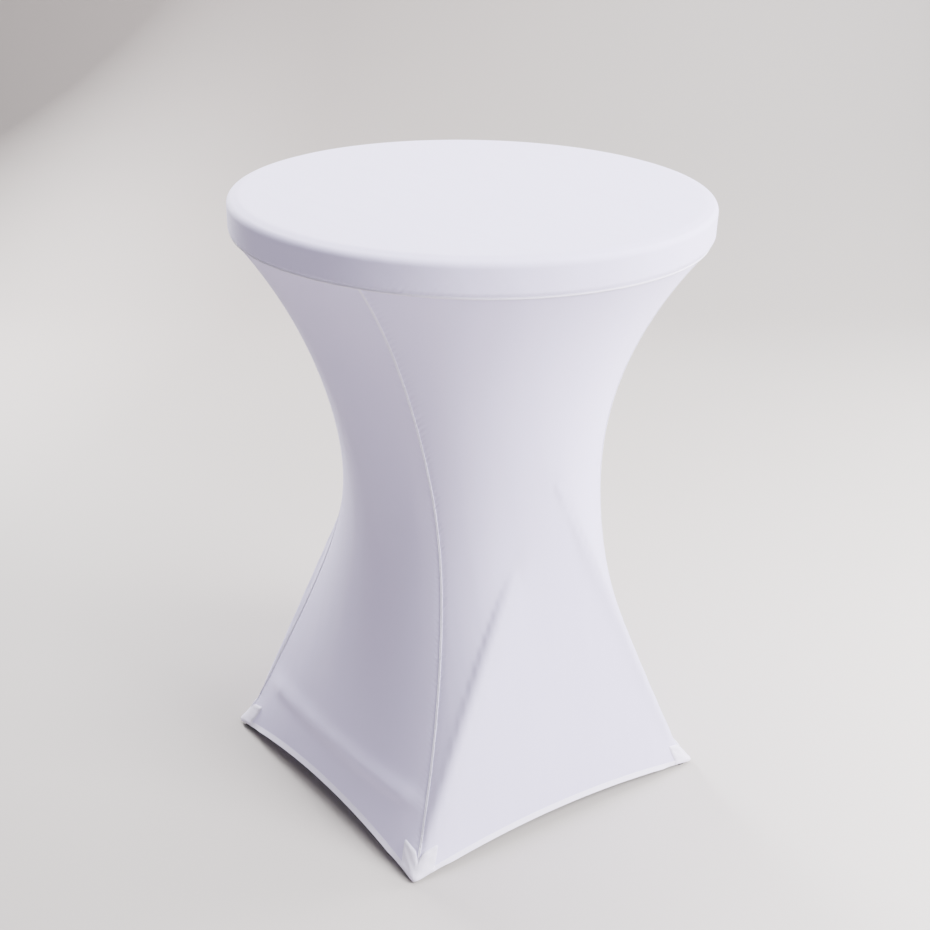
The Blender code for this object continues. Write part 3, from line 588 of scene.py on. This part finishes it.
def skirt_piece(cloth, k, material):
    """One hung panel from the rim seam into its hem."""
    us = np.linspace(k * COLUMNS, (k + 1) * COLUMNS, PANEL_COLUMNS + 1)
    us[0] += PANEL_SIDE_GAP
    us[-1] -= PANEL_SIDE_GAP
    low = HEM_HEIGHT * 0.6
    down = np.linspace(1, 0, PANEL_ROWS + 1)[:, None]
    ups = low + (cloth.length_at(us)[None] - low) * down
    inner = cloth.at(us[None], ups)
    normals = grid_normals(inner)
    width = np.linalg.norm(np.diff(inner, axis=1), axis=-1)
    across = np.concatenate([np.zeros((len(inner), 1)), np.cumsum(width, axis=1)], axis=1)
    near = np.minimum(across, across[:, -1:] - across)
    drawn_in = SEAM_DIP * np.exp(-(near / SEAM_DIP_WIDTH) ** 2)
    inner = inner - normals * drawn_in[..., None]
    outer = inner + normals * CLOTH
    uv = np.stack([across - across[:, -1:] / 2, ups], axis=-1)
    # painted shade over the legs and crossbars that lie behind the panel
    values = cloth_values(near, painted_shade_over_tubes(outer))
    return sheet_piece(f"cover_skirt_{SIDE_NAMES[k]}", inner, outer, material, uv, values)


def corner_seam_piece(cloth, k, material):
    """The sewn strip down a corner: two small ridges with a groove between them, a little puckered."""
    corner = k * COLUMNS
    top = float(cloth.length_at(corner)) - 0.002
    ups = np.linspace(top, POCKET_HEIGHT * SEAM_OVERLAP, SEAM_ROWS)[:, None]
    places = np.linspace(-SEAM_WIDTH / 2, SEAM_WIDTH / 2, SEAM_STEPS)[None]
    us = cloth.beside(corner, places, ups)
    base = cloth.at(us, ups)
    normals = grid_normals(base)
    wave = 2 * math.pi * ups / PUCKER_SPACING
    pucker = 0.6 * np.sin(wave) + 0.4 * np.sin(wave * 0.61 + 1.3 * k)
    share = np.abs(places) / (SEAM_WIDTH / 2)
    ridge = np.exp(-((share - 0.52) / 0.24) ** 2)
    height = CLOTH * 0.6 + SEAM_HEIGHT * ridge * (1 + 0.15 * pucker)
    height = height * np.clip((1 - share) / 0.12, 0.12, 1)
    inner = base - normals * 0.0004
    outer = base + normals * (height[..., None] + 0.0002)
    uv = np.stack([places + 0 * ups, ups + 0 * places], axis=-1)
    near = SEAM_WIDTH / 2 + 0 * height
    # painted shade over the tubes behind, a little weaker on the seam
    values = cloth_values(near, painted_shade_over_tubes(outer) * 0.7)
    made = sheet_piece(f"cover_corner_seam_{CORNER_NAMES[k]}", inner, outer, material, uv, values)
    rows = []
    for side in (-1, 1):
        place = np.full_like(ups, side * SEAM_WIDTH * 0.44)
        line = cloth.at(cloth.beside(corner, place, ups), ups)[:, 0]
        out = normals[:, SEAM_STEPS // 2]
        rows.append(line + out * (CLOTH + THREAD_OUT))
    return made, rows


def hem_piece(cloth, k, material):
    """The folded band along a panel's lower edge, pressed flat where it is sewn."""
    corner, following = k * COLUMNS, (k + 1) * COLUMNS
    zero = np.zeros(1)
    first = float(cloth.beside(corner, POCKET_WIDTH - HEM_TUCK, zero)[0])
    last = float(cloth.beside(following, -POCKET_WIDTH + HEM_TUCK, zero)[0])
    us = np.linspace(first, last, HEM_STEPS)[:, None]
    turn = np.radians(np.linspace(0, -180, 9))
    half = HEM_THICKNESS / 2
    up = np.concatenate([np.linspace(1, 0.16, 9) * HEM_HEIGHT, 0.0012 + half * np.sin(turn) * 0.9,
                         np.linspace(0.16, 1, 5) * HEM_HEIGHT])
    out = np.concatenate([np.full(9, half), half * np.cos(turn), np.full(5, -half)])
    sewn = np.exp(-((up - HEM_HEIGHT * HEM_SEWN) / SEWN_WIDTH) ** 2)
    full = 1 - 0.12 * np.abs(up / HEM_HEIGHT - 0.45)
    out = np.where(out > 0, out * full - 0.0005 * sewn, out)
    flare = HEM_FLARE * (1 - np.clip(up / HEM_HEIGHT, 0, 1)) ** 1.2 * (out > -half)
    out = out + flare
    edge = np.abs(up - HEM_HEIGHT) < 1e-6
    out = np.where(edge & (out > 0), out * 0.35, out)
    base = cloth.at(us, np.clip(up, 0, None)[None])
    grid = cloth.at(us, np.linspace(HEM_HEIGHT, 0, 3)[None])
    normal = grid_normals(grid.transpose(1, 0, 2)).mean(axis=0)
    normal /= np.linalg.norm(normal, axis=-1, keepdims=True)
    upwards = grid[:, 0] - grid[:, -1]
    upwards /= np.linalg.norm(upwards, axis=-1, keepdims=True)
    length = np.linalg.norm(np.diff(grid[:, -1], axis=0), axis=-1)
    along = np.concatenate([[0], np.cumsum(length)])
    wave = HEM_WAVE * np.sin(2 * math.pi * along / HEM_WAVE_LENGTH)
    wave = wave * (0.6 + 0.4 * np.sin(along * 61.0 + k))
    proud = (CLOTH / 2 + out)[None] + wave[:, None] * (out > 0)[None]
    below = np.minimum(up, 0)[None, :, None] * upwards[:, None]
    from_end = np.minimum(along, along[-1] - along)
    clear = np.clip((from_end - HEM_TUCK) / 0.03, 0, 1) ** 2
    proud = proud - flare[None] * (1 - clear)[:, None]
    loops = base + normal[:, None] * proud[..., None] + below
    uv = np.stack([along[:, None] + 0 * up[None], up[None] + 0 * along[:, None]], axis=-1)
    values = cloth_values(np.full(loops.shape[:2], HEM_HEIGHT))
    made = loop_piece(f"cover_hem_{SIDE_NAMES[k]}", loops, material, uv, False, values)
    sewn_line = cloth.at(us[:, 0], np.full(HEM_STEPS, HEM_HEIGHT * HEM_SEWN))
    return made, [sewn_line + normal * (CLOTH / 2 + half - 0.0002)]


def pocket_piece(cloth, k, material):
    """The doubled patch round a foot, padded inside its stitching, with a notch at the corner seam."""
    corner = k * COLUMNS
    across = np.linspace(-1, 1, POCKET_STEPS)[None]
    down = np.linspace(1, 0, POCKET_STEPS // 2)[:, None]
    share = np.abs(across)
    notch = POCKET_NOTCH * np.exp(-(across * POCKET_WIDTH / POCKET_NOTCH_WIDTH) ** 2)
    top_round = 0.004 * np.clip((share - 0.88) / 0.12, 0, 1) ** 2
    low_round = 0.004 * np.clip((share - 0.86) / 0.14, 0, 1) ** 2
    high = POCKET_HEIGHT - notch - top_round
    low = low_round + 0.0008
    ups = low + (high - low) * down
    places = across * POCKET_WIDTH + 0 * down
    us = cloth.beside(corner, places, ups)
    base = cloth.at(us, ups)
    normals = grid_normals(base)
    from_edge = np.minimum(POCKET_WIDTH * (1 - share) + 0 * down,
                           np.minimum((1 - down), down) * (high - low) + 0.0002)
    padded = 1 - np.exp(-(from_edge / 0.0022))
    sewn = np.exp(-((from_edge - POCKET_SEWN) / SEWN_WIDTH) ** 2)
    crease = np.exp(-(places / 0.0022) ** 2)
    height = CLOTH * 0.9 + POCKET_THICKNESS * padded - 0.0004 * sewn - 0.0006 * crease
    ripple = 0.00025 * np.sin(places * 190 + ups * 260 + k) * padded
    outer = base + normals * (height + ripple)[..., None]
    inner = base - normals * 0.0002
    uv = np.stack([places, ups], axis=-1)
    values = cloth_values(0.004 + from_edge)
    made = sheet_piece(f"cover_foot_pocket_{CORNER_NAMES[k]}", inner, outer, material, uv, values)
    rows = []
    for side in (-1, 1):
        reach = np.linspace(0.003, POCKET_WIDTH - POCKET_SEWN, 24)
        rise = POCKET_HEIGHT - POCKET_NOTCH * np.exp(-(reach / POCKET_NOTCH_WIDTH) ** 2) - POCKET_SEWN
        fall = np.linspace(rise[-1], 0.012, 20)[1:]
        places = np.concatenate([reach, np.full(len(fall), reach[-1])]) * side
        ups = np.concatenate([rise, fall])
        line = cloth.at(cloth.beside(corner, places, ups), ups)
        lower = cloth.at(cloth.beside(corner, places, ups - 0.002), ups - 0.002)
        aside = cloth.at(cloth.beside(corner, places + 0.002, ups), ups)
        normal = np.cross(aside - line, line - lower)
        normal /= np.linalg.norm(normal, axis=-1, keepdims=True)
        facing = np.sign(np.sum(normal[:, :2] * line[:, :2], axis=1, keepdims=True))
        rows.append(line + normal * facing * (CLOTH * 0.9 + POCKET_THICKNESS * 0.75))
    return made, rows


def rim_seam_piece(material):
    """The piped seam between the top panel and the skirt."""
    angles = np.linspace(0, 2 * math.pi, TOP_STEPS * 2, endpoint=False)
    ring = rim_ring(angles, TOUCH + CLOTH * 0.7)
    away = math.radians(LEAVING_ANGLE)
    outwards = np.stack([np.cos(angles) * math.cos(away), np.sin(angles) * math.cos(away),
                         np.full(len(angles), -math.sin(away))], axis=-1)
    downwards = np.stack([-np.cos(angles) * math.sin(away), -np.sin(angles) * math.sin(away),
                          np.full(len(angles), -math.cos(away))], axis=-1)
    turns = np.linspace(0, 2 * math.pi, RIM_SEAM_SIDES, endpoint=False)
    beads = 1 + 0.05 * np.sin(angles * 330)
    radius_out, radius_down = RIM_SEAM_OUT * beads, RIM_SEAM_DOWN
    loops = (ring[:, None] + outwards[:, None] * (radius_out[:, None] * np.cos(turns))[..., None]
             + downwards[:, None] * (radius_down * np.sin(turns))[None, :, None])
    along = angles * edge_r
    uv = np.stack(np.broadcast_arrays(along[:, None], RIM_SEAM_OUT * turns[None]), axis=-1)
    values = cloth_values(np.full(loops.shape[:2], 0.0012))
    made = loop_piece("cover_rim_seam", loops, material, uv, True, values)
    row = rim_ring(angles, TOUCH + CLOTH + THREAD_OUT) - downwards * RIM_STITCHES_UP
    return made, [row]


# ---- finishes ------------------------------------------------------------------------------------

class Value:
    """A number in a material's node tree, which takes part in sums."""

    def __init__(self, finish, socket):
        self.finish = finish
        self.socket = socket

    def sum(self, operation, first, second=0.0, third=0.0):
        made = self.finish.node("ShaderNodeMath", {"operation": operation}, {0: first, 1: second, 2: third})
        return Value(self.finish, made.outputs[0])

    def __add__(self, other):
        return self.sum("ADD", self, other)

    def __sub__(self, other):
        return self.sum("SUBTRACT", self, other)

    def __mul__(self, other):
        return self.sum("MULTIPLY", self, other)

    __radd__ = __add__
    __rmul__ = __mul__

    def sin(self):
        return self.sum("SINE", self)

    def exp(self):
        return self.sum("EXPONENT", self)

    def clipped(self, low, high):
        return self.sum("MINIMUM", self.sum("MAXIMUM", self, low), high)


class Finish:
    """A material and its node tree."""

    def __init__(self, name, colour, roughness, metallic=0.0, fixed=None):
        self.material = bpy.data.materials.new(name)
        self.material.use_nodes = True
        self.tree = self.material.node_tree
        self.shader = self.tree.nodes["Principled BSDF"]
        self.shader.inputs["Base Color"].default_value = (*colour, 1.0)
        self.shader.inputs["Roughness"].default_value = roughness
        self.shader.inputs["Metallic"].default_value = metallic
        for key, value in (fixed or {}).items():
            self.shader.inputs[key].default_value = value

    def node(self, kind, settings=None, sockets=None):
        made = self.tree.nodes.new(kind)
        for key, value in (settings or {}).items():
            setattr(made, key, value)
        for key, value in (sockets or {}).items():
            self.feed(made.inputs[key], value)
        return made

    def feed(self, socket, value):
        if isinstance(value, Value):
            self.tree.links.new(value.socket, socket)
        elif isinstance(value, bpy.types.NodeSocket):
            self.tree.links.new(value, socket)
        else:
            socket.default_value = value

    def attribute(self, name):
        return Value(self, self.node("ShaderNodeAttribute", {"attribute_name": name}).outputs["Fac"])

    def place(self, space):
        if space == "uv":
            return self.node("ShaderNodeUVMap", {"uv_map": "cloth_metres"}).outputs["UV"]
        return self.node("ShaderNodeTexCoord").outputs["Object"]

    def parts(self, vector):
        made = self.node("ShaderNodeSeparateXYZ", sockets={0: vector})
        return [Value(self, made.outputs[i]) for i in range(3)]

    def noise(self, vector, scale, detail=2.0, stretch=None):
        if stretch:
            vector = self.node("ShaderNodeMapping", sockets={"Vector": vector, "Scale": stretch}).outputs[0]
        made = self.node("ShaderNodeTexNoise", sockets={"Vector": vector, "Scale": scale, "Detail": detail})
        return Value(self, made.outputs["Fac"])

    def mixed(self, share, first, second):
        made = self.node("ShaderNodeMix", {"data_type": "RGBA"},
                         {"Factor": share, 6: (*first, 1.0) if isinstance(first, tuple) else first,
                          7: (*second, 1.0) if isinstance(second, tuple) else second})
        return made.outputs[2]

    def colour(self, socket):
        self.feed(self.shader.inputs["Base Color"], socket)

    def roughness(self, value):
        self.feed(self.shader.inputs["Roughness"], value)

    def relief(self, height, metres, before=None):
        """Raises the surface by that height, in metres at a height of 1."""
        made = self.node("ShaderNodeBump", sockets={"Height": height, "Distance": metres, "Strength": 1.0})
        if before is not None:
            self.feed(made.inputs["Normal"], before)
        self.feed(self.shader.inputs["Normal"], made.outputs[0])
        return made.outputs[0]


def knitted_cloth(name, pale, shaded, behind, knit_relief=0.00005):
    """Fine stretch knit: wales and courses, soft pulls along the tension, puckers at the seams, and painted shade
    where a tube lies close behind.
    """
    finish = Finish(name, pale, 0.78, fixed={
        "Sheen Weight": 0.22, "Sheen Roughness": 0.45, "Sheen Tint": (0.93, 0.93, 1.0, 1.0),
        "Specular IOR Level": 0.28})
    plain, metres = finish.place("object"), finish.place("uv")
    across, along, _ = finish.parts(metres)
    near = finish.attribute("seam_near")
    shade_over_tube = finish.attribute("tube_behind")
    cloudy = finish.noise(plain, 5.0, 3.0)
    pulls = finish.noise(metres, 1.0, 2.0, (16.0, 2.2, 1.0))
    base = finish.mixed(cloudy, pale, shaded)
    # painted shade: the colour drawn a little towards the darker third colour where a tube lies close behind the
    # cloth
    base = finish.mixed(shade_over_tube * 0.16, base, behind)
    finish.colour(base)
    finish.roughness(cloudy * 0.10 + 0.72)
    wales = (across * (2 * math.pi / KNIT_PITCH)).sin()
    courses = (along * (2 * math.pi / (KNIT_PITCH * 0.8))).sin()
    knit = finish.relief(wales * 0.5 + wales * courses * 0.5, knit_relief)
    drawn = finish.relief(pulls, 0.0016, knit)
    wander = finish.noise(metres, 55.0, 1.0)
    ruck = finish.noise(metres, 1.0, 1.0, (30.0, 130.0, 1.0))
    fade = (near * (-1 / PUCKER_REACH)).exp()
    line = (along * (2 * math.pi / PUCKER_SPACING) + wander * 5.0).sin()
    finish.relief((line * 0.35 + ruck * 1.5) * fade, 0.0011, drawn)
    return finish


def thread_finish():
    finish = Finish("seam_thread_look", (0.86, 0.86, 0.93), 0.55, fixed={"Sheen Weight": 0.3})
    plain = finish.place("object")
    twist = finish.noise(plain, 1400.0, 1.0, (1.0, 1.0, 0.35))
    finish.colour(finish.mixed(twist, (0.80, 0.80, 0.88), (0.90, 0.90, 0.96)))
    finish.roughness(twist * 0.2 + 0.45)
    finish.relief(twist, 0.00015)
    return finish


def moulded_finish():
    """Blow-moulded top: a fine stipple, faint flow marks, and a little scuffing."""
    finish = Finish("moulded_plastic_look", (0.74, 0.74, 0.71), 0.46)
    plain = finish.place("object")
    stipple = finish.noise(plain, 900.0, 1.0)
    flow = finish.noise(plain, 7.0, 4.0, (1.0, 3.0, 1.0))
    scuff = finish.noise(plain, 38.0, 6.0, (1.0, 6.0, 1.0))
    finish.colour(finish.mixed(flow, (0.70, 0.70, 0.67), (0.79, 0.79, 0.77)))
    finish.roughness(scuff * 0.25 + 0.36)
    finish.relief(stipple * 0.7 + flow * 0.3, 0.00022)
    return finish


def powder_finish():
    """Powder-coated tube: orange peel and slight dusting towards the feet."""
    finish = Finish("powder_coat_look", (0.30, 0.31, 0.33), 0.42)
    plain = finish.place("object")
    _, _, height = finish.parts(plain)
    peel = finish.noise(plain, 420.0, 1.5)
    worn = finish.noise(plain, 60.0, 5.0)
    dust = ((height * -9.0).exp() * worn).clipped(0.0, 1.0)
    finish.colour(finish.mixed(dust, (0.27, 0.28, 0.30), (0.46, 0.45, 0.43)))
    finish.roughness(worn * 0.18 + 0.34)
    finish.relief(peel, 0.00018)
    return finish


def zinc_finish():
    """Zinc plate with its blue and yellow bloom and fine draw marks."""
    finish = Finish("zinc_plate_look", (0.62, 0.63, 0.65), 0.33, 1.0)
    plain = finish.place("object")
    bloom = finish.noise(plain, 75.0, 3.0)
    drawn = finish.noise(plain, 260.0, 2.0, (1.0, 9.0, 9.0))
    finish.colour(finish.mixed(bloom, (0.58, 0.60, 0.66), (0.72, 0.70, 0.62)))
    finish.roughness(drawn * 0.25 + 0.22)
    finish.relief(drawn, 0.00006)
    return finish


def rubber_finish():
    finish = Finish("foot_rubber_look", (0.035, 0.035, 0.04), 0.72)
    plain = finish.place("object")
    dusty = finish.noise(plain, 90.0, 4.0)
    grain = finish.noise(plain, 1100.0, 1.0)
    finish.colour(finish.mixed(dusty, (0.028, 0.028, 0.032), (0.085, 0.083, 0.080)))
    finish.roughness(dusty * 0.25 + 0.58)
    finish.relief(grain, 0.00015)
    return finish


def nylon_finish():
    finish = Finish("nylon_look", (0.09, 0.09, 0.095), 0.45)
    plain = finish.place("object")
    haze = finish.noise(plain, 160.0, 3.0)
    finish.colour(finish.mixed(haze, (0.075, 0.075, 0.08), (0.13, 0.13, 0.135)))
    finish.roughness(haze * 0.2 + 0.36)
    finish.relief(haze, 0.0001)
    return finish


# ---- stitches --------------------------------------------------------------------------------------

def stitch_tree():
    """Stitches laid end to end along a curve, each a small padded bar."""
    tree = bpy.data.node_groups.new("stitches_along_seam", "GeometryNodeTree")
    face = tree.interface
    face.new_socket("Seam line", in_out="INPUT", socket_type="NodeSocketGeometry")
    inputs = (("Spacing", "NodeSocketFloat", STITCH_SPACING),
              ("Stitch length", "NodeSocketFloat", STITCH_LENGTH),
              ("Thread radius", "NodeSocketFloat", THREAD_RADIUS),
              ("Thread", "NodeSocketMaterial", None))
    for name, kind, value in inputs:
        socket = face.new_socket(name, in_out="INPUT", socket_type=kind)
        if value is not None:
            socket.default_value = value
    face.new_socket("Stitches", in_out="OUTPUT", socket_type="NodeSocketGeometry")
    given = tree.nodes.new("NodeGroupInput")
    result = tree.nodes.new("NodeGroupOutput")
    places = tree.nodes.new("GeometryNodeCurveToPoints")
    places.mode = "LENGTH"
    bar = tree.nodes.new("GeometryNodeMeshUVSphere")
    bar.inputs["Segments"].default_value = 6
    bar.inputs["Rings"].default_value = 4
    bar.inputs["Radius"].default_value = 1.0
    half = tree.nodes.new("ShaderNodeMath")
    half.operation = "MULTIPLY"
    half.inputs[1].default_value = 0.5
    size = tree.nodes.new("ShaderNodeCombineXYZ")
    shaped = tree.nodes.new("GeometryNodeTransform")
    laid = tree.nodes.new("GeometryNodeInstanceOnPoints")
    real = tree.nodes.new("GeometryNodeRealizeInstances")
    finish = tree.nodes.new("GeometryNodeSetMaterial")
    link = tree.links.new
    link(given.outputs["Seam line"], places.inputs["Curve"])
    link(given.outputs["Spacing"], places.inputs["Length"])
    link(given.outputs["Stitch length"], half.inputs[0])
    link(given.outputs["Thread radius"], size.inputs["X"])
    link(given.outputs["Thread radius"], size.inputs["Y"])
    link(half.outputs[0], size.inputs["Z"])
    link(bar.outputs["Mesh"], shaped.inputs["Geometry"])
    link(size.outputs[0], shaped.inputs["Scale"])
    link(places.outputs["Points"], laid.inputs["Points"])
    link(shaped.outputs[0], laid.inputs["Instance"])
    link(places.outputs["Rotation"], laid.inputs["Rotation"])
    link(laid.outputs[0], real.inputs[0])
    link(real.outputs[0], finish.inputs["Geometry"])
    link(given.outputs["Thread"], finish.inputs["Material"])
    link(finish.outputs[0], result.inputs[0])
    return tree


def stitches_piece(name, rows, tree, thread, cyclic=False):
    """A plain mesh of the stitches along each row of points."""
    curve = bpy.data.curves.new(name, "CURVE")
    curve.dimensions = "3D"
    for row in rows:
        spline = curve.splines.new("POLY")
        spline.points.add(len(row) - 1)
        spline.points.foreach_set("co", np.concatenate([row, np.ones((len(row), 1))], axis=1).ravel())
        spline.use_cyclic_u = cyclic
    line = bpy.data.objects.new(name, curve)
    bpy.context.scene.collection.objects.link(line)
    change = line.modifiers.new("stitches", "NODES")
    change.node_group = tree
    for socket in tree.interface.items_tree:
        if socket.in_out == "INPUT" and socket.name == "Thread":
            change[socket.identifier] = thread
    bpy.context.view_layer.update()
    shown = line.evaluated_get(bpy.context.evaluated_depsgraph_get())
    mesh = bpy.data.meshes.new_from_object(shown)
    line.modifiers.clear()
    bpy.data.objects.remove(line)
    mesh.shade_smooth()
    made = bpy.data.objects.new(name, mesh)
    bpy.context.scene.collection.objects.link(made)
    return made


# ---- the object ------------------------------------------------------------------------------------


def hang(piece, node):
    """The piece rides with the cover and stands for its node."""
    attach(piece, "cover")
    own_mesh(piece)
    if node:
        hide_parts(node)


def dress():
    """Makes the cover's pieces and hangs them on the frame."""
    # the third colour of each cloth is the painted shade laid over the tubes behind it
    outer_cloth = knitted_cloth("stretch_cloth_look",
                                (0.735, 0.675, 0.965), (0.71, 0.65, 0.945), (0.50, 0.48, 0.64))
    folded_cloth = knitted_cloth("folded_cloth_look",
                                 (0.87, 0.815, 0.995), (0.84, 0.785, 0.985), (0.60, 0.58, 0.72))
    thread = thread_finish()
    tree = stitch_tree()
    cloth = HungCloth(hang_net())

    top = top_panel_piece(outer_cloth.material)
    rim, rim_rows = rim_seam_piece(folded_cloth.material)
    for piece, node, slot in ((top, "top_panel", "stretch_cloth"), (rim, "rim_seam", "seam_thread")):
        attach(piece, "cover")
        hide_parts(node)
    rim_stitches = stitches_piece("rim_seam_stitches", rim_rows, tree, thread.material, cyclic=True)
    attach(rim_stitches, "cover")

    for k, name in enumerate(CORNER_NAMES):
        seam, seam_rows = corner_seam_piece(cloth, k, folded_cloth.material)
        pocket, pocket_rows = pocket_piece(cloth, k, folded_cloth.material)
        sewn = stitches_piece(f"corner_stitches_{name}", seam_rows, tree, thread.material)
        patched = stitches_piece(f"pocket_stitches_{name}", pocket_rows, tree, thread.material)
        hang(seam, f"corner_seam_{name}")
        hang(pocket, f"foot_pocket_{name}")
        hang(sewn, None)
        hang(patched, None)
    for k, side in enumerate(SIDE_NAMES):
        panel = skirt_piece(cloth, k, outer_cloth.material)
        hem, hem_rows = hem_piece(cloth, k, folded_cloth.material)
        sewn = stitches_piece(f"hem_stitches_{side}", hem_rows, tree, thread.material)
        hang(panel, f"skirt_{side}")
        hang(hem, f"hem_{side}")
        hang(sewn, None)
        width = 2 * math.pi * edge_r / 4 * CUT_SHARE
        length = float(cloth.length_at((k + 0.5) * COLUMNS)) * CUT_SHARE
        width * length * CUT_FILL
    across = 2 * (edge_r + TOP_DEPTH) * CUT_SHARE
    math.pi * across ** 2 / 4


def finish_table():
    """Gives every piece of the table inside its finish."""
    finishes = {"moulded_plastic": moulded_finish(), "powder_coated_tube": powder_finish(),
                "zinc_steel": zinc_finish(), "foot_rubber": rubber_finish(), "nylon": nylon_finish()}
    for part in record["subparts"]:
        if part["material_slot"] in finishes:
            for slot in frame["nodes"][part["node"]].material_slots:
                slot.material = finishes[part["material_slot"]].material


# ---- stage, light and camera -----------------------------------------------------------------------

def set_stage():
    """A pale floor that curves up into a backdrop, with painted shade towards camera-left and painted light
    towards camera-right.
    """
    finish = Finish("pale_floor", (0.60, 0.57, 0.55), 0.62)
    plain = finish.place("object")
    x, y, _ = finish.parts(plain)
    aside = math.radians(CAMERA_TURN)
    away = y * math.cos(aside) - x * math.sin(aside)
    across = x * math.cos(aside) + y * math.sin(aside) - away * 0.25
    haze = finish.noise(plain, 1.2, 3.0)
    # painted light and shade: the floor and backdrop darker to the left of the view and paler to the right,
    # mottled a little by noise
    share = (across * 0.42 + 0.52 + haze * 0.10).clipped(0.0, 1.0)
    finish.colour(finish.mixed(share, FLOOR_PAINTED_SHADE, FLOOR_PAINTED_LIGHT))
    turn = Matrix.Rotation(math.radians(CAMERA_TURN), 3, "Z")
    profile = [(FLOOR_FRONT, 0.0), (BACKDROP_START, 0.0)]
    for t in np.radians(np.linspace(8, 90, 12)):
        profile.append((BACKDROP_START + BACKDROP_BEND * math.sin(t), BACKDROP_BEND * (1 - math.cos(t))))
    profile.append((BACKDROP_START + BACKDROP_BEND, BACKDROP_HEIGHT))
    sides = (-FLOOR_HALF_WIDTH, FLOOR_HALF_WIDTH)
    points = [turn @ Vector((x, y, z)) for y, z in profile for x in sides]
    faces = [(2 * i, 2 * i + 1, 2 * i + 3, 2 * i + 2) for i in range(len(profile) - 1)]
    mesh = bpy.data.meshes.new("floor_and_backdrop")
    mesh.from_pydata(points, [], faces)
    mesh.shade_smooth()
    mesh.materials.append(finish.material)
    floor = bpy.data.objects.new("floor_and_backdrop", mesh)
    bpy.context.scene.collection.objects.link(floor)


def add_light(name, place, size, power):
    data = bpy.data.lights.new(name, "AREA")
    data.shape = "RECTANGLE"
    data.size, data.size_y = size
    data.energy = power
    data.color = LIGHT_COLOUR
    light = bpy.data.objects.new(name, data)
    turn = Matrix.Rotation(math.radians(CAMERA_TURN), 3, "Z")
    light.location = turn @ Vector(place)
    aim = Vector(LIGHT_AIM) - light.location
    light.rotation_euler = aim.to_track_quat("-Z", "Y").to_euler()
    bpy.context.scene.collection.objects.link(light)


def set_light_and_camera():
    for light in LIGHTS:
        add_light(*light)
    world = bpy.data.worlds.new("room_light")
    world.use_nodes = True
    world.node_tree.nodes["Background"].inputs["Color"].default_value = ROOM_COLOUR
    world.node_tree.nodes["Background"].inputs["Strength"].default_value = ROOM_STRENGTH
    bpy.context.scene.world = world
    data = bpy.data.cameras.new("camera")
    data.lens = CAMERA_LENS
    data.sensor_width = CAMERA_SENSOR
    data.shift_x, data.shift_y = CAMERA_SHIFT
    camera = bpy.data.objects.new("camera", data)
    turn = (Matrix.Rotation(math.radians(CAMERA_TURN), 4, "Z")
            @ Matrix.Rotation(math.radians(CAMERA_TILT), 4, "X")
            @ Matrix.Rotation(math.radians(CAMERA_ROLL), 4, "Z"))
    camera.matrix_world = Matrix.Translation(CAMERA_PLACE) @ turn
    bpy.context.scene.collection.objects.link(camera)
    bpy.context.scene.camera = camera


dress()
finish_table()
set_stage()
set_light_and_camera()
